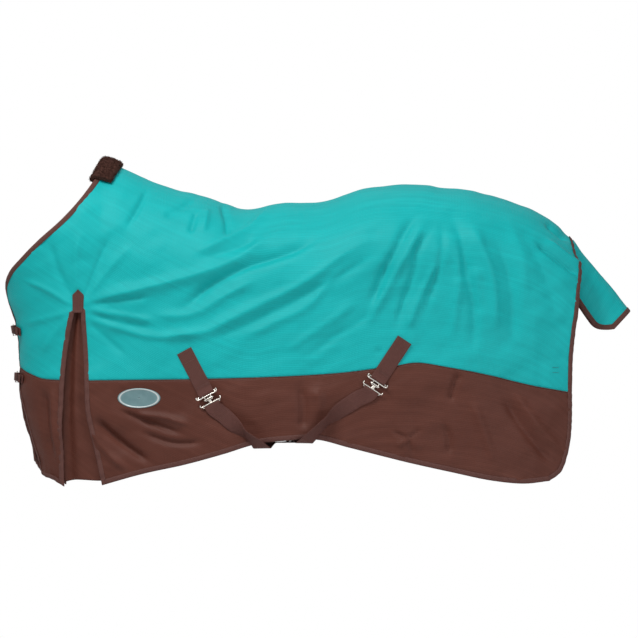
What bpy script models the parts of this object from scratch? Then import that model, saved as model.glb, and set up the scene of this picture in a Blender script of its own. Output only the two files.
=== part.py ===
"""A horse's turnout rug as it hangs when worn: shell, lining, bindings, gussets, tail flap and fastenings.

Metres, +Z up. The head end is -X, the tail end +X, and the near (left) side -Y. The origin is on the
horse's back, under the middle of the rug.
"""

import math

import bpy
import bmesh
import numpy as np
from mathutils import Matrix, Vector
from mathutils.bvhtree import BVHTree

# Overall sizes.
LENGTH = 1.793  # from the chest to the rear edge, in side view
DEPTH = 0.871  # from the back at the origin to the lowest tip of the hem
HALF_BREADTH = 0.315  # at the widest, over the barrel
CHEST_RADIUS = 0.300  # how far behind the chest line the front reaches its full breadth

# The cloth, from the outside in.
SHELL = 0.0020
LINING = 0.0035
CLEARANCE = 0.0003  # between two layers that touch
FOLD_GAP = 0.0009  # inside a folded binding, and between it and what it is sewn over
INNER_GAP = 0.0010  # the same on the horse's side, where the edge's bends crowd the layers
SEAT = 0.0005  # under a piece sewn on to the faceted cloth
BINDING_WIDTH = 0.014
BINDING = 0.0010

# Webbing and hardware.
WEB = 0.050
WEB_THICK = 0.0020
SLOT_PLAY = 0.001  # a slot is this much wider than its webbing at each end
PLATE_THICK = 0.0024
PLATE_BAR = 0.0045
PLATE_RIM = 0.004
WEB_SLOT = 0.0052
ANCHOR_LENGTH = 0.150
PLATE_LIFT = 0.0082  # middle of a surcingle plate above the cloth
CHEST_WEB = 0.025
CHEST_LIFT = 0.0105
CHEST_SEAT = FOLD_GAP + BINDING + 2 * SEAT  # chest webbing above the shell, clear of the front bindings
BILLET_GAP = 0.0027  # billet above the chape, which leaves room for the keeper's back
KEEPER_PLAY = 0.0026  # beside the billet, which bends round the chest inside the straight keeper
WIRE = 0.0018
TAB_WIDTH = 0.036
TAB_HEIGHT = 0.072
BADGE_WIDTH = 0.136
BADGE_HEIGHT = 0.062
FLAP_LENGTH = 0.285
FLAP_HALF = 0.085
FLAP_DROP = 0.105
FLEECE = 0.011
FLEECE_LEG = 0.048
FLEECE_SPREAD = 0.26  # how much the fold eases with each row down
FLEECE_ROWS = 2.55  # rows of the cloth grid that the pad reaches down on each side
FLEECE_EASE = 0.0015  # inside the pad's fold, over the bindings' ends
DEE_WIDTH = 0.045
DEE_DROP = 0.032

ORIGIN_SHARE = 0.5134  # of the length, from the chest to the origin

# Outlines in side view, each point as (share of the length back from the chest, share of the depth down
# from the origin).
SPINE = [(-0.11, -0.52), (0.10, -0.270), (0.175, -0.160), (0.197, -0.144), (0.242, -0.096), (0.287, -0.064),
         (0.347, -0.025), (0.422, 0.018), (0.481, -0.005), (0.558, -0.016), (0.626, -0.062), (0.707, -0.074),
         (0.774, -0.060), (0.830, -0.045), (0.886, -0.014), (0.942, 0.036), (0.988, 0.119), (1.032, 0.25)]
WITHERS = 0.175
TAIL_HEAD = 0.988
THROAT = [(-0.213, -0.160), (-0.092, 0.053), (-0.022, 0.224), (-0.004, 0.285)]  # the chest line above the rug
NECK = [(0.175, -0.160), (0.159, -0.098), (0.127, -0.007), (0.100, 0.053), (0.057, 0.132), (0.029, 0.189),
        (0.009, 0.235), (0.000, 0.278), (0.001, 0.310)]
CHEST = [(0.001, 0.310), (0.008, 0.356), (0.018, 0.416), (0.022, 0.463), (0.026, 0.580)]
CHEST_FLAP = {
    "near": [(0.026, 0.580), (0.0267, 0.640), (0.0314, 0.700), (0.043, 0.795), (0.058, 0.911)],
    "off": [(0.026, 0.580), (0.025, 0.651), (0.027, 0.708), (0.036, 0.797), (0.050, 0.911)],
}
CHEST_FOOT = [(0.061, 1.000)]
CHEST_PART = 0.0005  # the front edges lie this far behind the chest line, which parts them by their opening
FRONT_HEM = [(0.065, 0.960), (0.085, 0.979), (0.102, 1.000)]
GUSSET_FRONT = [[(0.254, -0.078), (0.185, 0.125), (0.126, 0.349)],
                [(0.126, 0.349), (0.109, 0.516), (0.104, 0.625)],
                [(0.104, 0.625), (0.101, 0.801), (0.102, 1.000)]]
GUSSET_REAR = [[(0.280, -0.066), (0.206, 0.125), (0.134, 0.349)],
               [(0.134, 0.349), (0.137, 0.480), (0.141, 0.626)],
               [(0.141, 0.626), (0.144, 0.737), (0.154, 0.836), (0.171, 0.995)]]
HEM = [(0.171, 0.995), (0.242, 0.954), (0.313, 0.922), (0.382, 0.883), (0.436, 0.849), (0.487, 0.836),
       (0.543, 0.832), (0.598, 0.860), (0.700, 0.913), (0.774, 0.947), (0.849, 0.979), (0.904, 0.989),
       (0.946, 0.980)]
REAR = [[(0.988, 0.119), (0.993, 0.174), (1.000, 0.254), (0.997, 0.299), (0.994, 0.381)],
        [(0.994, 0.381), (0.990, 0.445), (0.985, 0.569), (0.985, 0.669)],
        [(0.985, 0.669), (0.985, 0.776), (0.979, 0.875), (0.965, 0.950), (0.946, 0.980)]]
TAB_LINE = [[(0.001, 0.310), (0.064, 0.338), (0.126, 0.349)], [(0.134, 0.349), (0.513, 0.338), (0.994, 0.381)]]
SEAM = [[(0.026, 0.580), (0.040, 0.598), (0.067, 0.619), (0.104, 0.625)],
        [(0.141, 0.626), (0.361, 0.619), (0.513, 0.608), (0.588, 0.597), (0.678, 0.573), (0.712, 0.562),
         (0.774, 0.580), (0.842, 0.607), (0.911, 0.641), (0.985, 0.669)]]
BREADTH = [(-0.3, 0.60), (0.0, 0.66), (0.17, 0.72), (0.34, 0.91), (0.51, 0.99), (0.68, 1.0), (0.82, 0.95),
           (0.92, 0.80), (1.0, 0.60), (1.1, 0.5)]  # share of HALF_BREADTH along the length
TOP_RADIUS = [(-0.3, 0.36), (0.17, 0.34), (0.34, 0.27), (0.51, 0.24), (0.68, 0.22), (1.1, 0.22)]

# Where things are fixed, in the same shares.
SURCINGLES = {"front": {"pivot": (0.352, 0.671), "top": (0.313, 0.516)},
              "rear": {"pivot": (0.648, 0.623), "top": (0.695, 0.477)}}
BELLY = {"front": [(0.382, 0.748), (0.402, 0.785), (0.420, 0.815)],
         "rear": [(0.612, 0.690), (0.584, 0.728), (0.558, 0.772)]}
UNDER_HEM = {"front": 0.446, "rear": 0.523}
BELLY_RISE = {"front": 0.004, "rear": 0.009}  # each strap's middle above the hem, one clear of the other
HOOK_PIVOT = 0.0165  # from the plate's webbing bar to the hook's head
BUCKLES = {"upper": 0.440, "lower": 0.612}
DEE = (0.956, 0.617)
BADGE = (0.2351, 0.687)
TAB = (0.1295, 0.335)

# Cells of the cloth grid.
ROWS = (11, 3, 6)
COLUMNS = (6, 1, 15)

TEAL = (0.014, 0.465, 0.445)
BROWN = (0.114, 0.046, 0.035)
WEB_BROWN = (0.100, 0.032, 0.026)
LINING_BROWN = (0.085, 0.040, 0.032)
FLEECE_BROWN = (0.070, 0.030, 0.024)
STEEL = (0.70, 0.68, 0.64)
BADGE_GREY = (0.45, 0.52, 0.52)


def place(along, down):
    """Side-view shares as (x, z) in metres."""
    return (along - ORIGIN_SHARE) * LENGTH, -down * DEPTH


def smooth(points, count=160):
    """A cubic curve through the points, sampled evenly by length."""
    points = np.asarray(points, float)
    knots = np.concatenate([[0], np.cumsum(np.linalg.norm(np.diff(points, axis=0), axis=1) ** 0.7)])
    slopes = np.gradient(points, knots, axis=0)
    where = np.linspace(0, knots[-1], 40 * len(points))
    k = np.clip(np.searchsorted(knots, where, side="right") - 1, 0, len(knots) - 2)
    step = (knots[k + 1] - knots[k])[:, None]
    t = (where - knots[k])[:, None] / step
    fine = ((2 * t**3 - 3 * t**2 + 1) * points[k] + (t**3 - 2 * t**2 + t) * step * slopes[k]
            + (3 * t**2 - 2 * t**3) * points[k + 1] + (t**3 - t**2) * step * slopes[k + 1])
    return along_curve(fine, np.linspace(0, 1, count))


def along_curve(points, shares):
    """Points of a polyline at shares of its length."""
    run = np.concatenate([[0], np.cumsum(np.linalg.norm(np.diff(points, axis=0), axis=1))])
    return np.stack([np.interp(np.asarray(shares) * run[-1], run, axis) for axis in points.T], axis=1)


SPINE_CURVE = smooth([place(*p) for p in SPINE], 400)
CHEST_CURVE = smooth([place(*p) for p in THROAT + CHEST + CHEST_FLAP["off"][1:] + CHEST_FOOT], 300)
FRONT_FADE = 0.55  # the chest line's shape is lost this far back


def top_line(x):
    return np.interp(x, SPINE_CURVE[:, 0], SPINE_CURVE[:, 1])


def chest_line(z):
    return np.interp(-z, -CHEST_CURVE[:, 1], CHEST_CURVE[:, 0]) - CHEST_PART


def chest_start(back, z):
    """Where the length back is counted from: the chest line in front, a plain upright line further back."""
    share = np.clip(back / FRONT_FADE, 0, 1)
    fade = share * share * (3 - 2 * share)
    upright = -ORIGIN_SHARE * LENGTH
    return chest_line(z) * (1 - fade) + upright * fade


def half_breadth(x):
    shares, values = np.array(BREADTH).T
    return HALF_BREADTH * np.interp(x / LENGTH + ORIGIN_SHARE, shares, values)


def top_radius(x):
    shares, values = np.array(TOP_RADIUS).T
    return np.interp(x / LENGTH + ORIGIN_SHARE, shares, values)


def travel(depth, radius):
    """Length along a quarter round, then a straight, that reaches this depth."""
    share = np.clip(1 - depth / radius, 0, 1)
    return np.where(depth < radius, radius * np.arccos(share), depth + radius * (math.pi / 2 - 1))


def reach(length, radius):
    """The depth reached after this length, and how full the breadth is there."""
    angle = np.minimum(length / radius, math.pi / 2)
    depth = np.where(length < radius * math.pi / 2, radius * (1 - np.cos(angle)), length - radius * (math.pi / 2 - 1))
    return depth, np.sin(angle)


def unroll(x, z):
    """Side-view position to the length back from the chest and the length down from the spine."""
    x, z = np.asarray(x, float), np.asarray(z, float)
    low, high = np.zeros_like(x), np.full_like(x, 2 * LENGTH)
    for _ in range(50):
        back = 0.5 * (low + high)
        short = chest_start(back, z) + reach(back, CHEST_RADIUS)[0] < x
        low, high = np.where(short, back, low), np.where(short, high, back)
    return np.stack([low, travel(np.maximum(top_line(x) - z, 0), top_radius(x))], axis=-1)


def roll(cloth):
    """Unrolled cloth positions to points on the near side."""
    back, down = cloth[..., 0], cloth[..., 1]
    ahead, front_full = reach(back, CHEST_RADIUS)
    z = -down
    for _ in range(40):
        x = chest_start(back, z) + ahead
        depth, top_full = reach(down, top_radius(x))
        z = 0.5 * z + 0.5 * (top_line(x) - depth)
    return np.stack([x, -half_breadth(x) * front_full * top_full, z], axis=-1)


def roll_normals(cloth):
    step = 0.002
    back = roll(cloth + [step, 0]) - roll(cloth - [step, 0])
    down = roll(cloth + [0, step]) - roll(cloth - [0, step])
    normal = np.cross(down, back)
    return normal / np.linalg.norm(normal, axis=-1, keepdims=True)


def mirrored(points):
    return points * np.array([1, -1, 1])


def spaced(length, cells, border_start, border_end):
    """Even stations along a length, after one narrow cell at each end that carries a binding."""
    ends = [BINDING_WIDTH if border_start else 0, length - (BINDING_WIDTH if border_end else 0)]
    inner = list(np.linspace(*ends, cells + 1 - border_start - border_end))
    return np.array([0] * border_start + inner + [length] * border_end) / length


def stations(curve, cells, border_start=False, border_end=False):
    length = np.linalg.norm(np.diff(curve, axis=0), axis=1).sum()
    return spaced(length, cells, border_start, border_end)


def coons(top, bottom, left, right, shape):
    """Grid of unrolled positions inside four curves. shape says where the narrow border cells are."""
    across = shape["across"], shape["border_left"], shape["border_right"]
    down = shape["down"], False, shape["border_bottom"]
    share_top, share_bottom = stations(top, *across), stations(bottom, *across)
    share_left, share_right = stations(left, *down), stations(right, *down)
    up, low = along_curve(top, share_top), along_curve(bottom, share_bottom)
    west, east = along_curve(left, share_left), along_curve(right, share_right)
    grid = np.empty((shape["down"] + 1, shape["across"] + 1, 2))
    for j in range(shape["down"] + 1):
        for i in range(shape["across"] + 1):
            v = 0.5 * (share_left[j] + share_right[j])
            u = (1 - v) * share_top[i] + v * share_bottom[i]
            v = (1 - u) * share_left[j] + u * share_right[j]
            corners = ((1 - u) * (1 - v) * up[0] + u * (1 - v) * up[-1]
                       + (1 - u) * v * low[0] + u * v * low[-1])
            grid[j, i] = (1 - v) * up[i] + v * low[i] + (1 - u) * west[j] + u * east[j] - corners
    return grid


def cloth_curve(points):
    curve = smooth([place(*p) for p in points])
    return unroll(curve[:, 0], curve[:, 1])


def spine_piece(start, end):
    x = (np.linspace(start, end, 60) - ORIGIN_SHARE) * LENGTH
    curve = unroll(x, top_line(x))
    curve[:, 1] = 0
    return curve


def true_borders(grid):
    """Moves each border line of the grid so that its cells are a binding's width across on the real surface."""
    gap = COLUMNS[0]
    for edge, border, beyond in ((0, 1, 2), (gap, gap - 1, gap - 2), (gap + 1, gap + 2, gap + 3), (-1, -2, -3)):
        grid[:, border] = nearer(grid[:, edge], grid[:, beyond])
    grid[-2] = nearer(grid[-1], grid[-3])
    return grid


def nearer(edge, beyond):
    """Cloth positions a binding's width from the edge, towards the line beyond."""
    share = np.full((len(edge), 1), 0.2)
    for _ in range(6):
        away = np.linalg.norm(roll(edge + (beyond - edge) * share) - roll(edge), axis=1, keepdims=True)
        share = np.clip(share * BINDING_WIDTH / away, 0.01, 0.7)
    return edge + (beyond - edge) * share


def side_grid(side):
    """The whole side as a grid of unrolled positions: front, gusset gap and rear columns."""
    flap = CHEST_FLAP[side]
    fronts = [cloth_curve(NECK), cloth_curve(CHEST), cloth_curve(flap)]
    lefts = [cloth_curve(p) for p in GUSSET_FRONT]
    rights = [cloth_curve(p) for p in GUSSET_REAR]
    rears = [cloth_curve(p) for p in REAR]
    for curve in (fronts[0], lefts[0], rights[0], rears[0]):
        curve[0, 1] = 0
    cuts = [WITHERS, GUSSET_FRONT[0][0][0], GUSSET_REAR[0][0][0], TAIL_HEAD]
    spine = [spine_piece(a, b) for a, b in zip(cuts, cuts[1:])]
    gaps = [np.linspace(lefts[k][-1], rights[k][-1], 9) for k in range(3)]
    lines = [spine,
             [cloth_curve(TAB_LINE[0]), gaps[0], cloth_curve(TAB_LINE[1])],
             [cloth_curve(SEAM[0]), gaps[1], cloth_curve(SEAM[1])],
             [cloth_curve([flap[-1]] + FRONT_HEM), gaps[2], cloth_curve(HEM)]]
    sides = [fronts, lefts, rights, rears]
    bands = []
    for row in range(3):
        blocks = []
        for column in range(3):
            shape = {"across": COLUMNS[column], "down": ROWS[row], "border_left": column != 1,
                     "border_right": column != 1, "border_bottom": row == 2}
            block = coons(lines[row][column], lines[row + 1][column], sides[column][row],
                          sides[column + 1][row], shape)
            blocks.append(block if column == 0 else block[:, 1:])
        band = np.concatenate(blocks, axis=1)
        bands.append(band if row == 0 else band[1:])
    return true_borders(np.concatenate(bands, axis=0))


class Side:
    """One side's grid points and outward normals."""

    def __init__(self, side):
        cloth = side_grid(side)
        self.points, self.normals = roll(cloth), roll_normals(cloth)
        self.flip = side == "off"
        if self.flip:
            self.points, self.normals = mirrored(self.points), mirrored(self.normals)


def material(name, colour, roughness, metallic=0.0):
    made = bpy.data.materials.get(name) or bpy.data.materials.new(name)
    made.use_nodes = True
    shader = made.node_tree.nodes["Principled BSDF"]
    shader.inputs["Base Color"].default_value = (*colour, 1)
    shader.inputs["Roughness"].default_value = roughness
    shader.inputs["Metallic"].default_value = metallic
    made.diffuse_color = (*colour, 1)
    return made


def add(name, points, faces, look, pivot=None):
    """One object whose origin is at the pivot, a matrix or a point, with its points given in world space."""
    matrix = Matrix.Identity(4) if pivot is None else pivot
    if not isinstance(matrix, Matrix):
        matrix = Matrix.Translation(Vector(pivot))
    mesh = bpy.data.meshes.new(name)
    inverse = matrix.inverted()
    mesh.from_pydata([inverse @ Vector(p) for p in points], [], [list(f) for f in faces])
    solid = bmesh.new()
    solid.from_mesh(mesh)
    bmesh.ops.triangulate(solid, faces=solid.faces)
    bmesh.ops.recalc_face_normals(solid, faces=solid.faces)
    if solid.calc_volume(signed=True) < 0:
        bmesh.ops.reverse_faces(solid, faces=solid.faces)
    solid.to_mesh(mesh)
    solid.free()
    made = bpy.data.objects.new(name, mesh)
    made.matrix_world = matrix
    made.data.materials.append(look)
    bpy.context.scene.collection.objects.link(made)
    return made


def layer(points, normals, cells, outer, inner):
    """Closed thin solid over the chosen grid cells, between two heights above the grid."""
    rows, columns = cells.shape
    index, top, bottom = {}, [], []

    def vertex(j, i):
        if (j, i) not in index:
            index[j, i] = len(top)
            top.append(points[j, i] + normals[j, i] * outer)
            bottom.append(points[j, i] + normals[j, i] * inner)
        return index[j, i]

    quads, edges = [], []
    for j, i in zip(*np.nonzero(cells)):
        ring = [vertex(j, i), vertex(j + 1, i), vertex(j + 1, i + 1), vertex(j, i + 1)]
        quads.append(ring)
        around = [(j, i - 1), (j + 1, i), (j, i + 1), (j - 1, i)]
        for k, (row, column) in enumerate(around):
            inside = 0 <= row < rows and 0 <= column < columns and cells[row, column]
            if not inside:
                edges.append((ring[k], ring[(k + 1) % 4]))
    count = len(top)
    faces = [triangle for a, b, c, d in quads for triangle in ((a, b, c), (a, c, d))]
    faces += [tuple(count + v for v in reversed(triangle)) for triangle in list(faces)]
    faces += [triangle for a, b in edges for triangle in ((b, a, count + a), (b, count + a, count + b))]
    return np.array(top + bottom), faces


def drawn_in(points, rows, share_from):
    """Copy of a grid with one row moved by the clearance towards another, to part two pieces at a seam."""
    moved = points.copy()
    step = points[share_from] - points[rows]
    step /= np.linalg.norm(step, axis=-1, keepdims=True)
    moved[rows] += step * CLEARANCE
    return moved


def strip_around(edge, inner, edge_normals, inner_normals, heights, crossed, thick=BINDING, gap=FOLD_GAP):
    """U-shaped binding over an edge. heights are those of the layers that it holds, (outer, inner)."""
    out = edge - inner
    for way in (edge_normals, np.gradient(edge, axis=0)):
        way = way / np.linalg.norm(way, axis=1, keepdims=True)
        out = out - way * (out * way).sum(axis=1, keepdims=True)
    out = out / np.linalg.norm(out, axis=1, keepdims=True)
    high, low = heights[0] + gap, heights[1] - INNER_GAP
    section = [inner + inner_normals * (high + thick), inner + inner_normals * high,
               edge + out * gap + edge_normals * high, edge + out * gap + edge_normals * low,
               inner + inner_normals * low, inner + inner_normals * (low - thick),
               edge + out * (gap + thick) + edge_normals * (low - thick),
               edge + out * (gap + thick) + edge_normals * (high + thick)]
    return sweep(np.stack(section, axis=1), crossed)


def sweep(rings, crossed=None):
    """Solid through a run of equal rings, with flat ends. crossed turns the diagonal of chosen side faces."""
    count, corners = rings.shape[:2]
    if crossed is None:
        crossed = np.zeros((count - 1, corners), bool)
    faces = []
    for k in range(count - 1):
        here, there = k * corners, (k + 1) * corners
        for c in range(corners):
            d = (c + 1) % corners
            a, b, e, f = here + c, here + d, there + d, there + c
            faces += [(a, b, f), (b, e, f)] if crossed[k, c] else [(a, b, e), (a, e, f)]
    faces += [tuple(range(corners)), tuple(reversed(range((count - 1) * corners, count * corners)))]
    return rings.reshape(-1, 3), faces


def ribbon(centres, normals, width, thick):
    """Flat webbing along a line of centres, each with the normal of its flat side."""
    centres, normals = np.asarray(centres, float), np.asarray(normals, float)
    runs = np.gradient(centres, axis=0)
    across = np.cross(runs, normals)
    across /= np.linalg.norm(across, axis=1, keepdims=True)
    up = np.cross(across, runs)
    up /= np.linalg.norm(up, axis=1, keepdims=True)
    w, t = across * width / 2, up * thick / 2
    return sweep(np.stack([centres - w - t, centres + w - t, centres + w + t, centres - w + t], axis=1))


def wire_ring(name, points, look, pivot, radius=WIRE):
    """A closed loop of round wire through local points, as a bevelled curve."""
    curve = bpy.data.curves.new(name, "CURVE")
    curve.dimensions = "3D"
    curve.bevel_depth = radius
    curve.bevel_resolution = 1
    curve.resolution_u = 1
    line = curve.splines.new("POLY")
    line.points.add(len(points) - 1)
    for spot, point in zip(line.points, points):
        spot.co = (*point, 1)
    line.use_cyclic_u = True
    made = bpy.data.objects.new(name, curve)
    made.matrix_world = pivot
    curve.materials.append(look)
    bpy.context.scene.collection.objects.link(made)
    return made


def block(name, low, high, pivot, look=None):
    """Axis-aligned box between two local corners."""
    corners = [(x, y, z) for x in (low[0], high[0]) for y in (low[1], high[1]) for z in (low[2], high[2])]
    faces = [(0, 1, 3, 2), (4, 6, 7, 5), (0, 4, 5, 1), (2, 3, 7, 6), (0, 2, 6, 4), (1, 5, 7, 3)]
    return add(name, [pivot @ Vector(c) for c in corners], faces, look or material("steel", STEEL, 0.3, 1), pivot)


def combine(target, others, operation):
    """Booleans that join or cut hidden helper blocks."""
    for other in others:
        step = target.modifiers.new(other.name, "BOOLEAN")
        step.operation = operation
        step.object = other
        other.hide_render = True
        other.display_type = "WIRE"


def board(faces_from):
    """Ray target made of the pieces already sewn."""
    points, faces = [], []
    for solid_points, solid_faces in faces_from:
        start = len(points)
        points += [Vector(p) for p in solid_points]
        faces += [tuple(start + v for v in face) for face in solid_faces]
    return BVHTree.FromPolygons(points, faces)


def seated(target, points, normals, height):
    """Each point moved along its normal to the given height above the target."""
    found = []
    for point, normal in zip(np.asarray(points, float), np.asarray(normals, float)):
        hit = target.ray_cast(Vector(point + normal * 0.06), Vector(-normal), 0.12)[0]
        found.append((np.array(hit) if hit else point) + normal * height)
    return np.array(found)


def lay_strap(target, spots, normals, run, width, height):
    """Centres and normals of a flat strap that rests on the cloth at each spot, clear of it across its width."""
    centres, facing = [], []
    run = np.asarray(run, float)
    for spot_point, normal in zip(np.asarray(spots, float), np.asarray(normals, float)):
        across = np.cross(run, normal)
        across *= width / 2 / np.linalg.norm(across)
        points = seated(target, [spot_point + across * k for k in (-1, -0.5, 0, 0.5, 1)], [normal] * 5, 0)
        up = np.cross(points[4] - points[0], run)
        up /= np.linalg.norm(up) * np.sign(np.dot(up, normal))
        middle = 0.5 * (points[0] + points[4])
        bulge = max(0, *((p - middle) @ up for p in points[1:4]))
        centres.append(middle + up * (bulge + height))
        facing.append(up)
    return centres, facing


def spot(along, down, side="near"):
    """The point and outward normal of the cloth at side-view shares."""
    cloth = unroll(*place(along, down))
    point, normal = roll(cloth), roll_normals(cloth)
    return (point, normal) if side == "near" else (mirrored(point), mirrored(normal))


def frame(point, normal, run):
    """Matrix with +X along the run, +Z out of the cloth and +Y across."""
    normal = Vector(normal).normalized()
    run = Vector(run)
    run = (run - normal * run.dot(normal)).normalized()
    across = normal.cross(run)
    return Matrix.Translation(Vector(point)) @ Matrix((run, across, normal)).transposed().to_4x4()


def in_frame(matrix, local):
    return np.array([matrix @ Vector(p) for p in local])


def turned(matrix, local):
    return np.array([matrix.to_3x3() @ Vector(v) for v in local])


looks = {}


def set_looks():
    looks.update(teal=material("teal_cloth", TEAL, 0.6), brown=material("brown_cloth", BROWN, 0.6),
                 web=material("brown_webbing", WEB_BROWN, 0.7), lining=material("lining", LINING_BROWN, 0.5),
                 fleece=material("fleece", FLEECE_BROWN, 0.95), steel=material("steel", STEEL, 0.3, 1),
                 badge=material("badge", BADGE_GREY, 0.4))


def cell_masks():
    rows, columns = sum(ROWS), sum(COLUMNS)
    whole = np.ones((rows, columns), bool)
    whole[ROWS[0]:, COLUMNS[0]:COLUMNS[0] + 1] = False
    upper, front, rear = whole.copy(), whole.copy(), whole.copy()
    seam_row = ROWS[0] + ROWS[1]
    upper[seam_row:] = False
    front[:seam_row], rear[:seam_row] = False, False
    front[:, COLUMNS[0]:] = False
    rear[:, :COLUMNS[0]] = False
    return whole, upper, front, rear


def run_down(column, partner, start, stop):
    """Border corners down or up one column of the grid, each with its partner one cell in."""
    last = sum(ROWS) - 1
    step = 1 if stop > start else -1
    return [((j, column), (min(j, last), partner)) for j in range(start, stop, step)]


def run_along(start, stop):
    bottom = sum(ROWS)
    return [((bottom, i), (bottom - 1, i)) for i in range(start, stop)]


def front_border():
    bottom, gap = sum(ROWS), COLUMNS[0]
    down, up = run_down(0, 1, 0, bottom + 1), run_down(gap, gap - 1, bottom, ROWS[0])
    return down + run_along(1, gap) + up


def side_border():
    bottom, start, end = sum(ROWS), COLUMNS[0] + 1, sum(COLUMNS)
    down, up = run_down(start, start + 1, ROWS[0] + 1, bottom + 1), run_down(end, end - 1, bottom, -1)
    return down + run_along(start + 1, end) + up


STACK = (0.0, -(SHELL + CLEARANCE + LINING))


def binding(points, normals, path, heights=STACK):
    """U-shaped binding along border corners, its faces split along the same diagonals as the cloth's."""
    along_row = np.array([a[0][0] == b[0][0] for a, b in zip(path, path[1:])])
    inner_to_edge = np.array([False, True, False, False, False, True, False, False])
    swaps = np.array([False, True, False, True, False, True, False, True])
    crossed = np.where(along_row[:, None] & swaps, ~inner_to_edge, inner_to_edge)
    edge = np.array([points[a] for a, _ in path])
    inner = np.array([points[b] for _, b in path])
    edge_normals = np.array([normals[a] for a, _ in path])
    inner_normals = np.array([normals[b] for _, b in path])
    return strip_around(edge, inner, edge_normals, inner_normals, heights, crossed)


def make_side(side):
    """Shell, lining, gusset insert and bindings of one side. Returns what the straps are sewn to."""
    made = Side(side)
    whole, upper, front, rear = cell_masks()
    seam_row = ROWS[0] + ROWS[1]
    parted = drawn_in(made.points, 0, 1)
    below = drawn_in(made.points, seam_row, seam_row + 1)
    shells = [(f"{side}_upper_shell", parted, upper, "teal"), (f"{side}_front_band", below, front, "brown"),
              (f"{side}_rear_band", below, rear, "brown")]
    sewn = []
    for name, points, cells, look in shells:
        solid = layer(points, made.normals, cells, STACK[0], -SHELL)
        add(name, *solid, looks[look])
        sewn.append(solid)
    lining = layer(parted, made.normals, whole, -SHELL - CLEARANCE, STACK[1])
    add(f"{side}_lining", *lining, looks["lining"])
    gap = COLUMNS[0]
    insert_cells = np.zeros_like(whole)
    insert_cells[ROWS[0]:, gap - 1:gap + 2] = True
    depth = STACK[1] - INNER_GAP - BINDING - FOLD_GAP
    insert = layer(made.points, made.normals, insert_cells, depth, depth - SHELL)
    add(f"{side}_gusset_insert", *insert, looks["brown"])
    cloth = list(sewn)
    for name, path in ((f"{side}_front_binding", front_border()), (f"{side}_side_binding", side_border())):
        solid = binding(parted, made.normals, path)
        add(name, *solid, looks["web"])
        sewn.append(solid)
    return made, board(sewn), board(cloth)


def make_fleece(near, off):
    """Sherpa pad folded over the front of the withers, over the ends of both bindings."""
    rows, eases = [], []
    for side, stations_down in ((near, (FLEECE_ROWS, 2, 1, 0)), (off, (1, 2, FLEECE_ROWS))):
        for station in stations_down:
            row = min(int(station), sum(ROWS) - 1)
            share = station - row
            rows.append([grid[row, k] * (1 - share) + grid[row + 1, k] * share
                         for grid in (side.points, side.normals) for k in (0, 2)])
            eases.append(FLEECE_EASE * (1 + FLEECE_SPREAD * station))
    high = (FOLD_GAP + BINDING + np.array(eases))[:, None]
    low = STACK[1] - INNER_GAP + FOLD_GAP - high
    edge, inner, edge_normal, inner_normal = (np.array(r) for r in zip(*rows))
    back = inner - edge
    back /= np.linalg.norm(back, axis=1, keepdims=True)
    inner = edge + back * FLEECE_LEG
    ahead = high + FOLD_GAP
    round_in = FLEECE * 0.35
    section = [inner + inner_normal * high, edge - back * ahead + edge_normal * high,
               edge - back * ahead + edge_normal * low, inner + inner_normal * low,
               inner - back * round_in + inner_normal * (low - FLEECE * 0.6),
               edge - back * ahead + edge_normal * (low - FLEECE * 0.6),
               edge - back * (ahead + FLEECE) + edge_normal * (low - round_in * 0.3),
               edge - back * (ahead + FLEECE) + edge_normal * (high + round_in),
               edge - back * ahead + edge_normal * (high + FLEECE),
               inner - back * round_in + inner_normal * (high + FLEECE)]
    add("withers_fleece", *sweep(np.stack(section, axis=1)), looks["fleece"])


def flap_grid():
    """Points and outward normals of the tail flap, a half tube over the tail, hinged at its root."""
    x, z = place(TAIL_HEAD, 0)
    root = np.array([x + BINDING + FOLD_GAP + 0.0014, 0, top_line(x) - BINDING])
    slope = math.radians(-51)
    run = np.array([math.cos(slope), 0, math.sin(slope)])
    along = [0, 0.08, 0.2, 0.36, 0.52, 0.68, 0.84, 1 - BINDING_WIDTH / FLAP_LENGTH, 1]
    turn = math.radians(100)
    edge = BINDING_WIDTH / (FLAP_DROP * turn)
    across = np.array([-1, -1 + edge, -0.66, -0.33, 0, 0.33, 0.66, 1 - edge, 1]) * turn
    points = np.empty((len(along), len(across), 3))
    for j, share in enumerate(along):
        lean = math.radians(-104 - 30 * share)
        drop = np.array([math.cos(lean), 0, math.sin(lean)])
        for i, angle in enumerate(across):
            down = FLAP_DROP * (1 - math.cos(angle)) * (1.0 + 0.06 * (1 - share))
            side = FLAP_HALF * math.sin(angle) * (0.9 + 0.15 * share)
            points[j, i] = root + run * share * FLAP_LENGTH + drop * down + np.array([0, side, 0])
    lengthwise = np.gradient(points, axis=0)
    normals = np.cross(lengthwise, np.gradient(points, axis=1))
    normals /= np.linalg.norm(normals, axis=2, keepdims=True)
    return points, normals, root


def make_tail_flap():
    points, normals, root = flap_grid()
    rows, columns = points.shape[0] - 1, points.shape[1] - 1
    cells = np.ones((rows, columns), bool)
    flap = layer(points, normals, cells, 0, -SHELL)
    add("tail_flap", *flap, looks["teal"], root)
    path = [((j, 0), (min(j, rows - 1), 1)) for j in range(rows + 1)]
    path += [((rows, i), (rows - 1, i)) for i in range(1, columns)]
    path += [((j, columns), (min(j, rows - 1), columns - 1)) for j in range(rows, -1, -1)]
    add("tail_flap_binding", *binding(points, normals, path, (0, -SHELL)), looks["web"], root)


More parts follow.
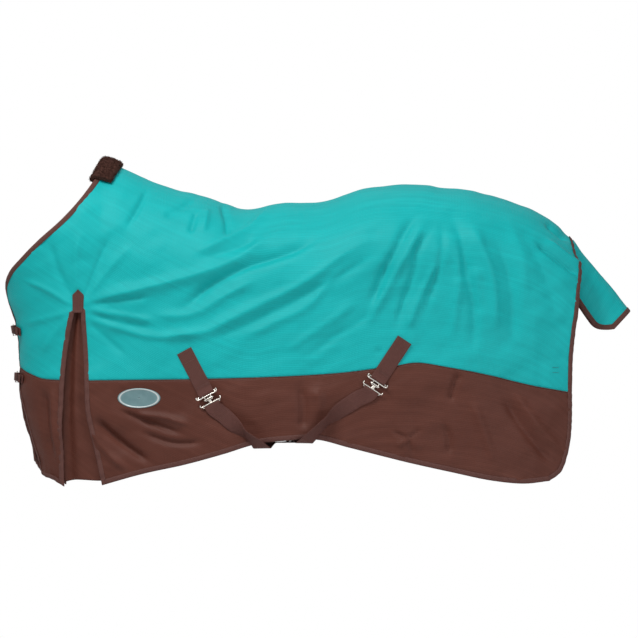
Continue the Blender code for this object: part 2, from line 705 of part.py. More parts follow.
def patch(name, target, point, normal, run, outline, look, rows=4, height=SEAT):
    """Thin sewn-on piece: outline gives its half width at each share of its length along the run."""
    matrix = frame(point, normal, run)
    shares = np.linspace(0, 1, rows + 1)
    rings = []
    for share in shares:
        along, half = outline(share)
        local = [(along, half * k, 0) for k in (-1, -0.34, 0.34, 1)]
        spots = in_frame(matrix, local)
        normals = np.repeat(np.array([matrix.col[2][:3]]), 4, axis=0)
        low = seated(target, spots, normals, height)
        high = low[::-1] + normals * BINDING
        rings.append(np.concatenate([low, high]))
    add(name, *sweep(np.array(rings)), look)


def tab_outline(share):
    along = TAB_HEIGHT * (share - 0.42)
    return along, TAB_WIDTH / 2 * min(1, 0.06 + share / 0.26) * (1 - 0.15 * max(0, share - 0.3))


def badge_outline(share):
    angle = math.pi * (0.03 + 0.94 * share)
    return -BADGE_WIDTH / 2 * math.cos(angle), BADGE_HEIGHT / 2 * math.sin(angle)


def surcingle_frame(end, side="near"):
    """Frame of a slotted plate at its webbing bar: +X down the strap, +Z out."""
    top, normal = spot(*SURCINGLES[end]["top"], side)
    pivot, normal = spot(*SURCINGLES[end]["pivot"], side)
    return frame(pivot, normal, pivot - top)


def anchor_strap(end, target):
    """Short strap sewn to the shell at its top, folded round the plate's bar and back."""
    matrix = surcingle_frame(end)
    out = np.array(matrix.col[2][:3])
    flat = [(-ANCHOR_LENGTH + k, 0, 0) for k in np.linspace(0, ANCHOR_LENGTH - 0.022, 7)]
    spots = in_frame(matrix, flat)
    centres, normals = lay_strap(target, spots, [out] * 7, matrix.col[0][:3], WEB, SEAT + WEB_THICK / 2)
    fold = [(-14, -3.4, 1.0), (-8, 1.6, 1.0), (-3, 3.4, 1.2), (1.6, 3.5, 1.5), (4.6, 1.6, 1.9),
            (4.8, -1.4, 2.3), (2.0, -3.4, 2.9), (-3, -3.6, 3.2), (-7.5, -3.0, 3.3)]
    lift = Vector((0, 0, PLATE_LIFT))
    for along, up, turn in fold:
        centres.append(np.array(matrix @ (Vector((along * 0.001, 0, up * 0.001)) + lift)))
        angle = (turn - 1.0) * math.pi / 2.3
        normals.append(turned(matrix, [(math.sin(angle), 0, math.cos(angle))])[0])
    add(f"{end}_anchor_strap", *ribbon(centres, normals, WEB, WEB_THICK), looks["web"])


def slotted_plate(end):
    """Metal plate on the anchor strap: webbing slot, web, and the slot that the T-hook's head goes through."""
    matrix = surcingle_frame(end) @ Matrix.Translation((0, 0, PLATE_LIFT))
    half = WEB / 2 + SLOT_PLAY
    wide, thick, bar = half + PLATE_RIM, PLATE_THICK / 2, PLATE_BAR / 2
    plate = block(f"{end}_slotted_plate", (-bar, -wide, -thick), (0.0225, wide, thick), matrix)
    cuts = [block(f"{end}_cut_web", (bar, -half, -0.01), (bar + WEB_SLOT, half, 0.01), matrix),
            block(f"{end}_cut_head", (0.0105, -0.011, -0.01), (0.018, 0.011, 0.01), matrix)]
    combine(plate, cuts, "DIFFERENCE")


def t_hook(end):
    """Metal hook: head in front of the plate, neck through its slot, webbing bar below. Its pivot is the head."""
    matrix = surcingle_frame(end) @ Matrix.Translation((HOOK_PIVOT, 0, PLATE_LIFT))
    half = WEB / 2 + SLOT_PLAY
    wide = half + PLATE_RIM
    base = block(f"{end}_t_hook", (0.0080, -wide, -0.0041), (0.0225, wide, -0.0017), matrix)
    parts = [block(f"{end}_neck_back", (-0.0012, -0.0065, -0.0040), (0.0100, 0.0065, -0.0018), matrix),
             block(f"{end}_neck", (-0.0011, -0.0064, -0.0039), (0.0011, 0.0064, 0.0040), matrix),
             block(f"{end}_head", (-0.0035, -0.017, 0.0017), (0.0031, 0.017, 0.0047), matrix)]
    combine(base, parts, "UNION")
    combine(base, [block(f"{end}_cut_hook", (0.0130, -half, -0.01), (0.0185, half, 0.01), matrix)], "DIFFERENCE")


def belly_side(end, target, side, hem):
    """Centres and normals of a belly strap on the outside of one side, down to where it turns under the hem."""
    matrix = surcingle_frame(end, side)
    shares = BELLY[end]
    spots, facing = zip(*[spot(*share, side) for share in shares])
    run = spots[-1] - spots[0]
    centres, normals = lay_strap(target, spots, facing, run, WEB, SEAT + BINDING + FOLD_GAP + WEB_THICK / 2)
    sign = -1 if side == "near" else 1
    x = (UNDER_HEM[end] - ORIGIN_SHARE) * LENGTH
    width = np.linspace(-WEB / 2, WEB / 2, 9)
    level = np.interp(x + width, hem[:, 0], hem[:, 2]).min()
    breadth = np.abs(np.interp(x + width, hem[:, 0], hem[:, 1])).max()
    lean = -1 if end == "front" else 1
    outside = breadth + BINDING + FOLD_GAP * 4 + WEB_THICK
    under = BINDING + FOLD_GAP * 3 + WEB_THICK / 2
    bend = [((lean * 0.012, outside + 0.0012, 0.008), (0, 1, -0.1)),
            ((lean * 0.004, outside + 0.0006, -0.0025), (0, 1, -0.6)),
            ((lean * 0.001, breadth + 0.001, -under - 0.0022), (0, 0.35, -1)),
            ((0, breadth - 0.022, -under - 0.0005), (0, -0.05, -1))]
    for (shift, out, up), (_, tilt_out, tilt_up) in bend:
        centres.append(np.array([x + shift, sign * out, level + up]))
        normals.append(np.array([0, sign * tilt_out, tilt_up]))
    return matrix, centres, normals, level


def belly_strap(end, targets, hems):
    """Long strap from the near hook, under the belly, to the other end's place on the off side."""
    other = "rear" if end == "front" else "front"
    matrix, centres, normals, level = belly_side(end, targets["near"], "near", hems["near"])
    hook = matrix @ Matrix.Translation((0, 0, PLATE_LIFT)) @ Matrix.Translation((HOOK_PIVOT, 0, 0))
    start, tilt = fold_round_bar(hook)
    far_matrix, far_centres, far_normals, _ = belly_side(other, targets["off"], "off", hems["off"])
    out = np.array(far_matrix.col[2][:3])
    shares = np.linspace(0.008, -ANCHOR_LENGTH, 6)
    tail_spots = in_frame(far_matrix, [(k, 0, 0) for k in shares])
    tail, tail_normals = lay_strap(targets["off"], tail_spots, [out] * len(shares), -Vector(far_matrix.col[0][:3]),
                                   WEB, SEAT + WEB_THICK / 2)
    rise = BELLY_RISE[end]
    ends = np.array([centres[-1], far_centres[-1]])
    middle = [np.array([*(ends[0] * (1 - s) + ends[1] * s)[:2], level + rise]) for s in (0.10, 0.37, 0.78, 0.90)]
    line = start + centres + middle + far_centres[::-1] + tail
    facing = tilt + normals + [np.array([0, 0, -1.0])] * 4 + far_normals[::-1] + tail_normals
    add(f"{end}_belly_strap", *ribbon(line, facing, WEB, WEB_THICK), looks["web"])
    return middle[2], middle[3] - middle[1]


def fold_round_bar(hook):
    """The strap's end behind the hook, round its lower bar from behind to the front."""
    bar, depth = 0.0205, -0.0029
    radius = 0.0035
    points, normals = [], []
    points.append(hook @ Vector((bar + 0.014, 0, depth - 0.0008)))
    normals.append((0, 0, -1))
    for angle in np.radians([-95, -125, -180, -225, -265]):
        squeeze = 1.0 if abs(math.cos(angle)) > 0.5 else 0.95
        points.append(hook @ Vector((bar - 0.0012 + radius * math.cos(angle) * 1.05, 0,
                                     depth + radius * math.sin(angle) * squeeze)))
        normals.append((math.cos(angle), 0, math.sin(angle)))
    points.append(hook @ Vector((bar + 0.010, 0, depth + 0.0030)))
    normals.append((0.1, 0, 1))
    return [np.array(p) for p in points], list(turned(hook, normals))


def belly_slide(end, centre, run):
    """Metal slide that sets the strap's length, round the strap where it runs straight under the belly."""
    matrix = frame(centre, (0, 0, -1), run)
    half, tall = WEB / 2 + SLOT_PLAY, WEB_THICK / 2 + FOLD_GAP
    wide, length, deep = half + 0.0035, 0.014, tall + 0.0022
    made = block(f"{end}_slide", (-length, -wide, -deep), (length, wide, deep), matrix)
    combine(made, [block(f"{end}_cut_slide", (-0.05, -half, -tall), (0.05, half, tall), matrix)], "DIFFERENCE")


def off_patch(end, target):
    """Box-stitched patch over the sewn top of a belly strap on the off side."""
    matrix = surcingle_frame(end, "off")
    out = np.array(matrix.col[2][:3])
    shares = np.linspace(-ANCHOR_LENGTH - 0.004, -ANCHOR_LENGTH + 0.046, 4)
    spots = in_frame(matrix, [(k, 0, 0) for k in shares])
    height = SEAT + WEB_THICK + FOLD_GAP + BINDING / 2
    centres, normals = lay_strap(target, spots, [out] * 4, matrix.col[0][:3], WEB, height)
    add(f"{end}_off_patch", *ribbon(centres, normals, WEB + 0.008, BINDING), looks["web"])


def chest_frame(level):
    """Frame on the centre of the chest: +X up, +Y across to the off side, +Z ahead."""
    z = -level * DEPTH
    step = 0.01
    slope = (chest_line(z + step) - chest_line(z - step)) / (2 * step)
    up = Vector((slope, 0, 1)).normalized()
    across = Vector((0, 1, 0))
    base = Vector((chest_line(z), 0, z))
    return Matrix.Translation(base) @ Matrix((up, across, up.cross(across))).transposed().to_4x4()


def wrap_points(matrix, target, spans, height, side):
    """Centres and normals of chest webbing on the cloth of one side, at lengths back from the centre line."""
    centres, normals = [], []
    start = matrix.translation
    down = unroll(start.x + CHEST_PART, start.z)[1]
    for span in spans:
        cloth = np.array([span, down])
        point, normal = roll(cloth), roll_normals(cloth)
        if side == "off":
            point, normal = mirrored(point), mirrored(normal)
        run = np.cross(normal, matrix.col[0][:3])
        centre, up = lay_strap(target, [point], [normal], run, CHEST_WEB, height)
        centres += centre
        normals += up
    return centres, normals


def chest_fastening(level_name, targets):
    """Buckle across the front: chape and keeper on the near side, billet from the off side."""
    matrix = chest_frame(BUCKLES[level_name])
    lift, gap = CHEST_LIFT, 0.0006
    half = CHEST_WEB / 2 + gap + WIRE
    heel, nose = -0.014, 0.013
    corner = 0.0018
    ring = [(-half + corner, heel, lift), (half - corner, heel, lift), (half, heel + corner, lift),
            (half, nose - corner, lift), (half - corner, nose, lift), (-half + corner, nose, lift),
            (-half, nose - corner, lift), (-half, heel + corner, lift)]
    wire_ring(f"{level_name}_buckle", ring, looks["steel"], matrix)
    pivot = matrix @ Matrix.Translation((0, heel, lift))
    reach_tip = nose - heel + WIRE * 0.5
    top = WIRE * 2 + CLEARANCE * 1.5
    profile = [(-0.0036, -0.0004), (-0.0030, 0.0026), (0.0, 0.0036), (0.0040, 0.0036), (reach_tip, top + 0.0011),
               (reach_tip, top - 0.0009), (0.0045, 0.0022), (0.0016, 0.0022), (-0.0014, 0.0020),
               (-0.0024, 0.0006), (-0.0022, -0.0006)]
    rings = [[pivot @ Vector((side, along, up)) for along, up in profile] for side in (-0.0016, 0.0016)]
    add(f"{level_name}_tongue", *sweep(np.array(rings)), looks["steel"], pivot)
    near, near_normals = wrap_points(matrix, targets["near"], (0.115, 0.095, 0.075, 0.055, 0.038),
                                     CHEST_SEAT + WEB_THICK / 2, "near")
    fold = [(heel - 0.008, lift - 0.0050), (heel - 0.0005, lift - 0.0037), (heel + 0.0036, lift - 0.0008),
            (heel + 0.0026, lift + 0.0028), (heel - 0.0012, lift + 0.0036), (heel - 0.0075, lift + 0.0012)]
    tilt = [(-0.1, 1), (0.0, 1), (-1, 0.1), (-0.7, -0.7), (-0.1, -1), (0.2, -1)]
    chape = near + [np.array(matrix @ Vector((0, y, z))) for y, z in fold]
    facing = near_normals + [turned(matrix, [(0, y, z)])[0] for y, z in tilt]
    strap = add(f"{level_name}_chape", *ribbon(chape, facing, CHEST_WEB, WEB_THICK), looks["web"])
    slit = block(f"{level_name}_cut_chape", (-0.0030, heel - 0.004, -0.02), (0.0030, heel + 0.02, 0.03), matrix)
    combine(strap, [slit], "DIFFERENCE")
    return matrix


def off_billet(level_name, matrix, targets):
    """Strap end from the off side: under the nose bar, over the heel bar, and back along the near side."""
    lift = CHEST_LIFT
    off, off_normals = wrap_points(matrix, targets["off"], (0.130, 0.110, 0.090, 0.070, 0.050, 0.032),
                                   CHEST_SEAT + WEB_THICK / 2, "off")
    heel, nose = -0.014, 0.013
    middle = [(nose + 0.006, lift - 0.0050), (nose - 0.001, lift - WIRE - 0.0018), (0.004, lift - 0.0008),
              (heel + 0.010, lift + 0.0036), (heel, lift + 0.0072), (heel - 0.008, lift + 0.0068)]
    line = off + [np.array(matrix @ Vector((0, y, z))) for y, z in middle]
    facing = off_normals + [turned(matrix, [(0, -0.3, 1)])[0]] * len(middle)
    near, near_normals = wrap_points(matrix, targets["near"], (0.044, 0.064, 0.084, 0.104),
                                     CHEST_SEAT + WEB_THICK * 2.5 + BILLET_GAP, "near")
    line += near
    facing += near_normals
    strap = add(f"{level_name}_billet", *ribbon(line, facing, CHEST_WEB, WEB_THICK), looks["web"])
    hole = block(f"{level_name}_cut_billet", (-0.0030, heel + 0.004, -0.02), (0.0030, nose - 0.003, 0.04), matrix)
    combine(strap, [hole], "DIFFERENCE")


def keeper(level_name, matrix, targets):
    """Loop of webbing that holds the billet down on the near side."""
    centres, normals = wrap_points(matrix, targets["near"], (0.070,), CHEST_SEAT + WEB_THICK, "near")
    run = np.cross(normals[0], matrix.col[0][:3])
    local = frame(centres[0], normals[0], run)
    half, wall, low = CHEST_WEB / 2 + KEEPER_PLAY, 0.0010, FOLD_GAP
    high = low + 2 * wall + WEB_THICK + 3 * BILLET_GAP
    loop = block(f"{level_name}_keeper", (-0.006, -half - wall, low), (0.006, half + wall, high), local,
                 looks["web"])
    hole = block(f"{level_name}_cut_keeper", (-0.03, -half, low + wall), (0.03, half, high - wall), local)
    combine(loop, [hole], "DIFFERENCE")


def leg_strap_anchor(side, target):
    """Webbing tab inside the rear, with the D-ring that a leg strap clips to."""
    point, normal = spot(*DEE, side)
    inward = -normal
    matrix = frame(point, inward, (0, 0, -1))
    lift = SHELL + LINING + CLEARANCE + 0.0062
    pivot = matrix @ Matrix.Translation((0, 0, lift))
    half = DEE_WIDTH / 2
    bend = [(0, -half, 0), (0, half, 0)]
    bend += [(DEE_DROP * math.sin(a), half * math.cos(a), 0) for a in np.radians([30, 60, 90, 120, 150])]
    wire_ring(f"{side}_dee", bend, looks["steel"], pivot, 0.0021)
    flat = seated(target, in_frame(matrix, [(k, 0, 0) for k in (-0.045, -0.030, -0.014)]),
                  np.repeat([inward], 3, axis=0), SEAT + WEB_THICK / 2)
    fold = [(-0.0075, lift + 0.0020), (-0.0015, lift + 0.0044), (0.0034, lift + 0.0030), (0.0044, lift - 0.0002),
            (0.0026, lift - 0.0034), (-0.0040, lift - 0.0036)]
    angles = np.radians([0, 10, 50, 95, 150, 185])
    centres = list(flat) + [np.array(matrix @ Vector((a, 0, n))) for a, n in fold]
    facing = [inward] * 3 + [turned(matrix, [(math.sin(a), 0, math.cos(a))])[0] for a in angles]
    add(f"{side}_dee_tab", *ribbon(centres, facing, 0.025, WEB_THICK), looks["web"])


def main():
    for old in list(bpy.data.objects):
        bpy.data.objects.remove(old, do_unlink=True)
    set_looks()
    near, near_sewn, near_cloth = make_side("near")
    off, off_sewn, off_cloth = make_side("off")
    targets, cloths = {"near": near_sewn, "off": off_sewn}, {"near": near_cloth, "off": off_cloth}
    hems = {"near": near.points[-1, COLUMNS[0] + 1:], "off": off.points[-1, COLUMNS[0] + 1:]}
    linings = {side: board([layer(made.points, made.normals, cell_masks()[0], -SHELL - CLEARANCE, STACK[1])])
               for side, made in (("near", near), ("off", off))}
    make_fleece(near, off)
    make_tail_flap()
    for side in ("near", "off"):
        point, normal = spot(*TAB, side)
        patch(f"{side}_gusset_tab", targets[side], point, normal, (0, 0, -1), tab_outline, looks["web"],
              height=SEAT + 0.0004)
        leg_strap_anchor(side, linings[side])
    point, normal = spot(*BADGE)
    patch("oval_badge", targets["near"], point, normal, (1, 0, 0), badge_outline, looks["badge"], rows=10)
    for end in ("front", "rear"):
        anchor_strap(end, targets["near"])
        slotted_plate(end)
        t_hook(end)
        belly_slide(end, *belly_strap(end, targets, hems))
        off_patch(end, targets["off"])
    for level_name in BUCKLES:
        matrix = chest_fastening(level_name, cloths)
        off_billet(level_name, matrix, cloths)
        keeper(level_name, matrix, cloths)


main()
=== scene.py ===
import math

import bpy
import numpy as np
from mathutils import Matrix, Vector


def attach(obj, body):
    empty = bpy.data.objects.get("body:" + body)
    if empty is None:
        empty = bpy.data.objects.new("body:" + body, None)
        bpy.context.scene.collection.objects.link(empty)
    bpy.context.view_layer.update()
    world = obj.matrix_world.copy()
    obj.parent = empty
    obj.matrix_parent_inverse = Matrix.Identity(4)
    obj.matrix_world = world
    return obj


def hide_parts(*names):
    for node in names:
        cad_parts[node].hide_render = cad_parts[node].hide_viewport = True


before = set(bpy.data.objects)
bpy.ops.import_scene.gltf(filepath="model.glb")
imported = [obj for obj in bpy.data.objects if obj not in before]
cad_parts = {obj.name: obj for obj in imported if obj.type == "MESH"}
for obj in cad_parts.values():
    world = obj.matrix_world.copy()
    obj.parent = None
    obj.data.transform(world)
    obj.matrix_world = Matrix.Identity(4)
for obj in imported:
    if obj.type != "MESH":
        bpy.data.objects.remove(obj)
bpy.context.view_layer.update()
print("frame loaded:", len(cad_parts), "nodes")

# ---------------------------------------------------------------- camera and studio

studio = {"centre": (0.059, -0.25, -0.353), "width": 1.978, "lens": 500.0, "floorHeight": -1.50,
          "floorEdge": 3.7,
          "ambient": 0.41, "keyPower": 184.0, "fillPower": 50.0, "rimPower": 4.0}


def addCamera():
    data = bpy.data.cameras.new("sideCamera")
    data.sensor_width = 36.0
    data.lens = studio["lens"]
    away = studio["width"] / 2 / (data.sensor_width / 2 / data.lens)
    data.clip_start, data.clip_end = 0.5, away * 3
    camera = bpy.data.objects.new("sideCamera", data)
    bpy.context.scene.collection.objects.link(camera)
    x, y, z = studio["centre"]
    camera.location = (x, y - away, z)
    camera.rotation_euler = (math.pi / 2, 0, 0)
    bpy.context.scene.camera = camera


def addLamp(name, place, target, width, height, power, colour=(1, 1, 1)):
    data = bpy.data.lights.new(name, "AREA")
    data.shape = "RECTANGLE"
    data.size, data.size_y = width, height
    data.energy = power
    data.color = colour
    lamp = bpy.data.objects.new(name, data)
    bpy.context.scene.collection.objects.link(lamp)
    lamp.location = place
    lamp.rotation_euler = (Vector(target) - Vector(place)).to_track_quat("-Z", "Y").to_euler()


def addStudio():
    bpy.context.scene.view_settings.view_transform = "Standard"
    world = bpy.data.worlds.new("paleRoom")
    bpy.context.scene.world = world
    world.use_nodes = True
    nodes, links = world.node_tree.nodes, world.node_tree.links
    nodes.clear()
    rays = nodes.new("ShaderNodeLightPath")
    seen, felt = nodes.new("ShaderNodeBackground"), nodes.new("ShaderNodeBackground")
    seen.inputs["Color"].default_value = (1, 1, 1, 1)
    seen.inputs["Strength"].default_value = 1.0
    felt.inputs["Color"].default_value = (1, 1, 1, 1)
    felt.inputs["Strength"].default_value = studio["ambient"]
    mix, out = nodes.new("ShaderNodeMixShader"), nodes.new("ShaderNodeOutputWorld")
    links.new(rays.outputs["Is Camera Ray"], mix.inputs[0])
    links.new(felt.outputs[0], mix.inputs[1])
    links.new(seen.outputs[0], mix.inputs[2])
    links.new(mix.outputs[0], out.inputs["Surface"])
    middle = (0.05, -0.2, -0.35)
    addLamp("keyLamp", (-1.7, -2.5, 3.1), middle, 1.8, 1.4, studio["keyPower"], (1.0, 0.985, 0.96))
    addLamp("fillLamp", (2.6, -3.2, 0.4), middle, 2.2, 2.2, studio["fillPower"], (0.96, 0.98, 1.0))
    addLamp("rimLamp", (0.4, 2.4, 2.8), middle, 2.6, 1.6, studio["rimPower"])


addCamera()
addStudio()

# ---------------------------------------------------------------- shape of the worn rug
# The rug's cloth is described unrolled: back = length from the chest, down = length from the spine.

rug = {"length": 1.793, "depth": 0.871, "halfBreadth": 0.315, "chestRadius": 0.300, "originShare": 0.5134,
       "frontFade": 0.55, "chestPart": 0.0005,
       "shell": 0.0020, "liningTop": 0.0024, "lining": 0.0034}
spineShares = [(-0.11, -0.52), (0.10, -0.270), (0.175, -0.160), (0.197, -0.144), (0.242, -0.096),
               (0.287, -0.064), (0.347, -0.025), (0.422, 0.018), (0.481, -0.005), (0.558, -0.016),
               (0.626, -0.062), (0.707, -0.074), (0.774, -0.060), (0.830, -0.045), (0.886, -0.014),
               (0.942, 0.036), (0.988, 0.119), (1.032, 0.25)]
throatShares = [(-0.213, -0.160), (-0.092, 0.053), (-0.022, 0.224), (-0.004, 0.285)]
neckShares = [(0.175, -0.160), (0.159, -0.098), (0.127, -0.007), (0.100, 0.053), (0.057, 0.132),
              (0.029, 0.189),
              (0.009, 0.235), (0.000, 0.278), (0.001, 0.310)]
chestShares = [(0.001, 0.310), (0.008, 0.356), (0.018, 0.416), (0.022, 0.463), (0.026, 0.580)]
flapShares = {"near": [(0.026, 0.580), (0.0267, 0.640), (0.0314, 0.700), (0.043, 0.795), (0.058, 0.911)],
              "off": [(0.026, 0.580), (0.025, 0.651), (0.027, 0.708), (0.036, 0.797), (0.050, 0.911)]}
frontHemShares = [(0.065, 0.960), (0.085, 0.979), (0.102, 1.000)]
gussetFrontShares = [[(0.254, -0.078), (0.185, 0.125), (0.126, 0.349)],
                     [(0.126, 0.349), (0.109, 0.516), (0.104, 0.625)],
                     [(0.104, 0.625), (0.101, 0.801), (0.102, 1.000)]]
gussetRearShares = [[(0.280, -0.066), (0.206, 0.125), (0.134, 0.349)],
                    [(0.134, 0.349), (0.137, 0.480), (0.141, 0.626)],
                    [(0.141, 0.626), (0.144, 0.737), (0.154, 0.836), (0.171, 0.995)]]
hemShares = [(0.171, 0.995), (0.242, 0.954), (0.313, 0.922), (0.382, 0.883), (0.436, 0.849), (0.487, 0.836),
             (0.543, 0.832), (0.598, 0.860), (0.700, 0.913), (0.774, 0.947), (0.849, 0.979), (0.904, 0.989),
             (0.946, 0.980)]
rearShares = [[(0.988, 0.119), (0.993, 0.174), (1.000, 0.254), (0.997, 0.299), (0.994, 0.381)],
              [(0.994, 0.381), (0.990, 0.445), (0.985, 0.569), (0.985, 0.669)],
              [(0.985, 0.669), (0.985, 0.776), (0.979, 0.875), (0.965, 0.950), (0.946, 0.980)]]
tabLineShares = [[(0.001, 0.310), (0.064, 0.338), (0.126, 0.349)],
                 [(0.134, 0.349), (0.513, 0.338), (0.994, 0.381)]]
seamShares = [[(0.026, 0.580), (0.040, 0.598), (0.067, 0.619), (0.104, 0.625)],
              [(0.141, 0.626), (0.361, 0.619), (0.513, 0.608), (0.588, 0.597), (0.678, 0.573), (0.712, 0.562),
               (0.774, 0.580), (0.842, 0.607), (0.911, 0.641), (0.985, 0.669)]]
breadthShares = [(-0.3, 0.60), (0.0, 0.66), (0.17, 0.72), (0.34, 0.91), (0.51, 0.99), (0.68, 1.0),
                 (0.82, 0.95),
                 (0.92, 0.80), (1.0, 0.60), (1.1, 0.5)]
topRadii = [(-0.3, 0.36), (0.17, 0.34), (0.34, 0.27), (0.51, 0.24), (0.68, 0.22), (1.1, 0.22)]


def place(along, down):
    return (along - rug["originShare"]) * rug["length"], -down * rug["depth"]


def alongCurve(points, shares):
    # points at shares of the line's length, found by interpolating each axis over the running length
    run = np.concatenate([[0], np.cumsum(np.linalg.norm(np.diff(points, axis=0), axis=1))])
    return np.stack([np.interp(np.asarray(shares) * run[-1], run, axis) for axis in points.T], axis=1)


def smoothLine(points, count=160):
    # cubic Hermite through the points, knots spaced by chord length to the power 0.7
    points = np.asarray(points, float)
    knots = np.concatenate([[0], np.cumsum(np.linalg.norm(np.diff(points, axis=0), axis=1) ** 0.7)])
    slopes = np.gradient(points, knots, axis=0)
    where = np.linspace(0, knots[-1], 40 * len(points))
    k = np.clip(np.searchsorted(knots, where, side="right") - 1, 0, len(knots) - 2)
    step = (knots[k + 1] - knots[k])[:, None]
    t = (where - knots[k])[:, None] / step
    fine = ((2 * t**3 - 3 * t**2 + 1) * points[k] + (t**3 - 2 * t**2 + t) * step * slopes[k]
            + (3 * t**2 - 2 * t**3) * points[k + 1] + (t**3 - t**2) * step * slopes[k + 1])
    return alongCurve(fine, np.linspace(0, 1, count))


spineLine = smoothLine([place(*p) for p in spineShares], 400)
chestCurve = smoothLine([place(*p) for p in throatShares + chestShares + flapShares["off"][1:]
                         + [(0.061, 1.0)]],
                        300)


def topLine(x):
    return np.interp(x, spineLine[:, 0], spineLine[:, 1])


def chestLine(z):
    return np.interp(-z, -chestCurve[:, 1], chestCurve[:, 0]) - rug["chestPart"]


def chestStart(back, z):
    # the chest's outline in front, fading to a plain upright line further back
    share = np.clip(back / rug["frontFade"], 0, 1)
    fade = share * share * (3 - 2 * share)
    return chestLine(z) * (1 - fade) - rug["originShare"] * rug["length"] * fade


def sideShare(x, table):
    shares, values = np.array(table).T
    return np.interp(x / rug["length"] + rug["originShare"], shares, values)


def travel(depth, radius):
    # length along a quarter round, then a straight, that reaches this depth
    share = np.clip(1 - depth / radius, 0, 1)
    return np.where(depth < radius, radius * np.arccos(share), depth + radius * (math.pi / 2 - 1))


def reach(length, radius):
    # depth after this length, and the sine of the angle turned, which is how full the breadth is
    angle = np.minimum(length / radius, math.pi / 2)
    depth = np.where(length < radius * math.pi / 2, radius * (1 - np.cos(angle)),
                     length - radius * (math.pi / 2 - 1))
    return depth, np.sin(angle)


def unroll(x, z):
    # bisection for the length back whose side-view position is x
    x, z = np.asarray(x, float), np.asarray(z, float)
    low, high = np.zeros_like(x), np.full_like(x, 2 * rug["length"])
    for _ in range(50):
        back = 0.5 * (low + high)
        short = chestStart(back, z) + reach(back, rug["chestRadius"])[0] < x
        low, high = np.where(short, back, low), np.where(short, high, back)
    depth = np.maximum(topLine(x) - z, 0)
    return np.stack([low, travel(depth, sideShare(x, topRadii))], axis=-1)


def roll(cloth):
    # near-side points: x from the chest's round, z from the spine's round, y the breadth times both fullnesses
    back, down = cloth[..., 0], cloth[..., 1]
    ahead, frontFull = reach(back, rug["chestRadius"])
    z = -down
    for _ in range(40):
        x = chestStart(back, z) + ahead
        depth, topFull = reach(down, sideShare(x, topRadii))
        z = 0.5 * z + 0.5 * (topLine(x) - depth)
    return np.stack([x, -rug["halfBreadth"] * sideShare(x, breadthShares) * frontFull * topFull, z], axis=-1)


def rollNormals(cloth):
    step = 0.004
    backward = roll(cloth + [step, 0]) - roll(cloth - [step, 0])
    downward = roll(cloth + [0, step]) - roll(cloth - [0, step])
    normal = np.cross(downward, backward)
    return normal / np.linalg.norm(normal, axis=-1, keepdims=True)


def clothCurve(shares):
    line = smoothLine([place(*p) for p in shares])
    return unroll(line[:, 0], line[:, 1])


# ---------------------------------------------------------------- folds of the cloth

rng = np.random.default_rng(7)
noiseTables = [rng.uniform(-1, 1, (64, 64)) for _ in range(8)]


def softNoise(u, v, scale, table):
    # value noise: random numbers at the corners of square cells, eased between them
    values = noiseTables[table]
    a, b = u / scale + 31.7, v / scale + 17.3
    i, j = np.floor(a).astype(int), np.floor(b).astype(int)
    s, t = a - i, b - j
    s, t = s * s * s * (s * (6 * s - 15) + 10), t * t * t * (t * (6 * t - 15) + 10)
    i, j = i % 64, j % 64
    k, m = (i + 1) % 64, (j + 1) % 64
    return ((values[i, j] * (1 - s) + values[k, j] * s) * (1 - t)
            + (values[i, m] * (1 - s) + values[k, m] * s) * t)


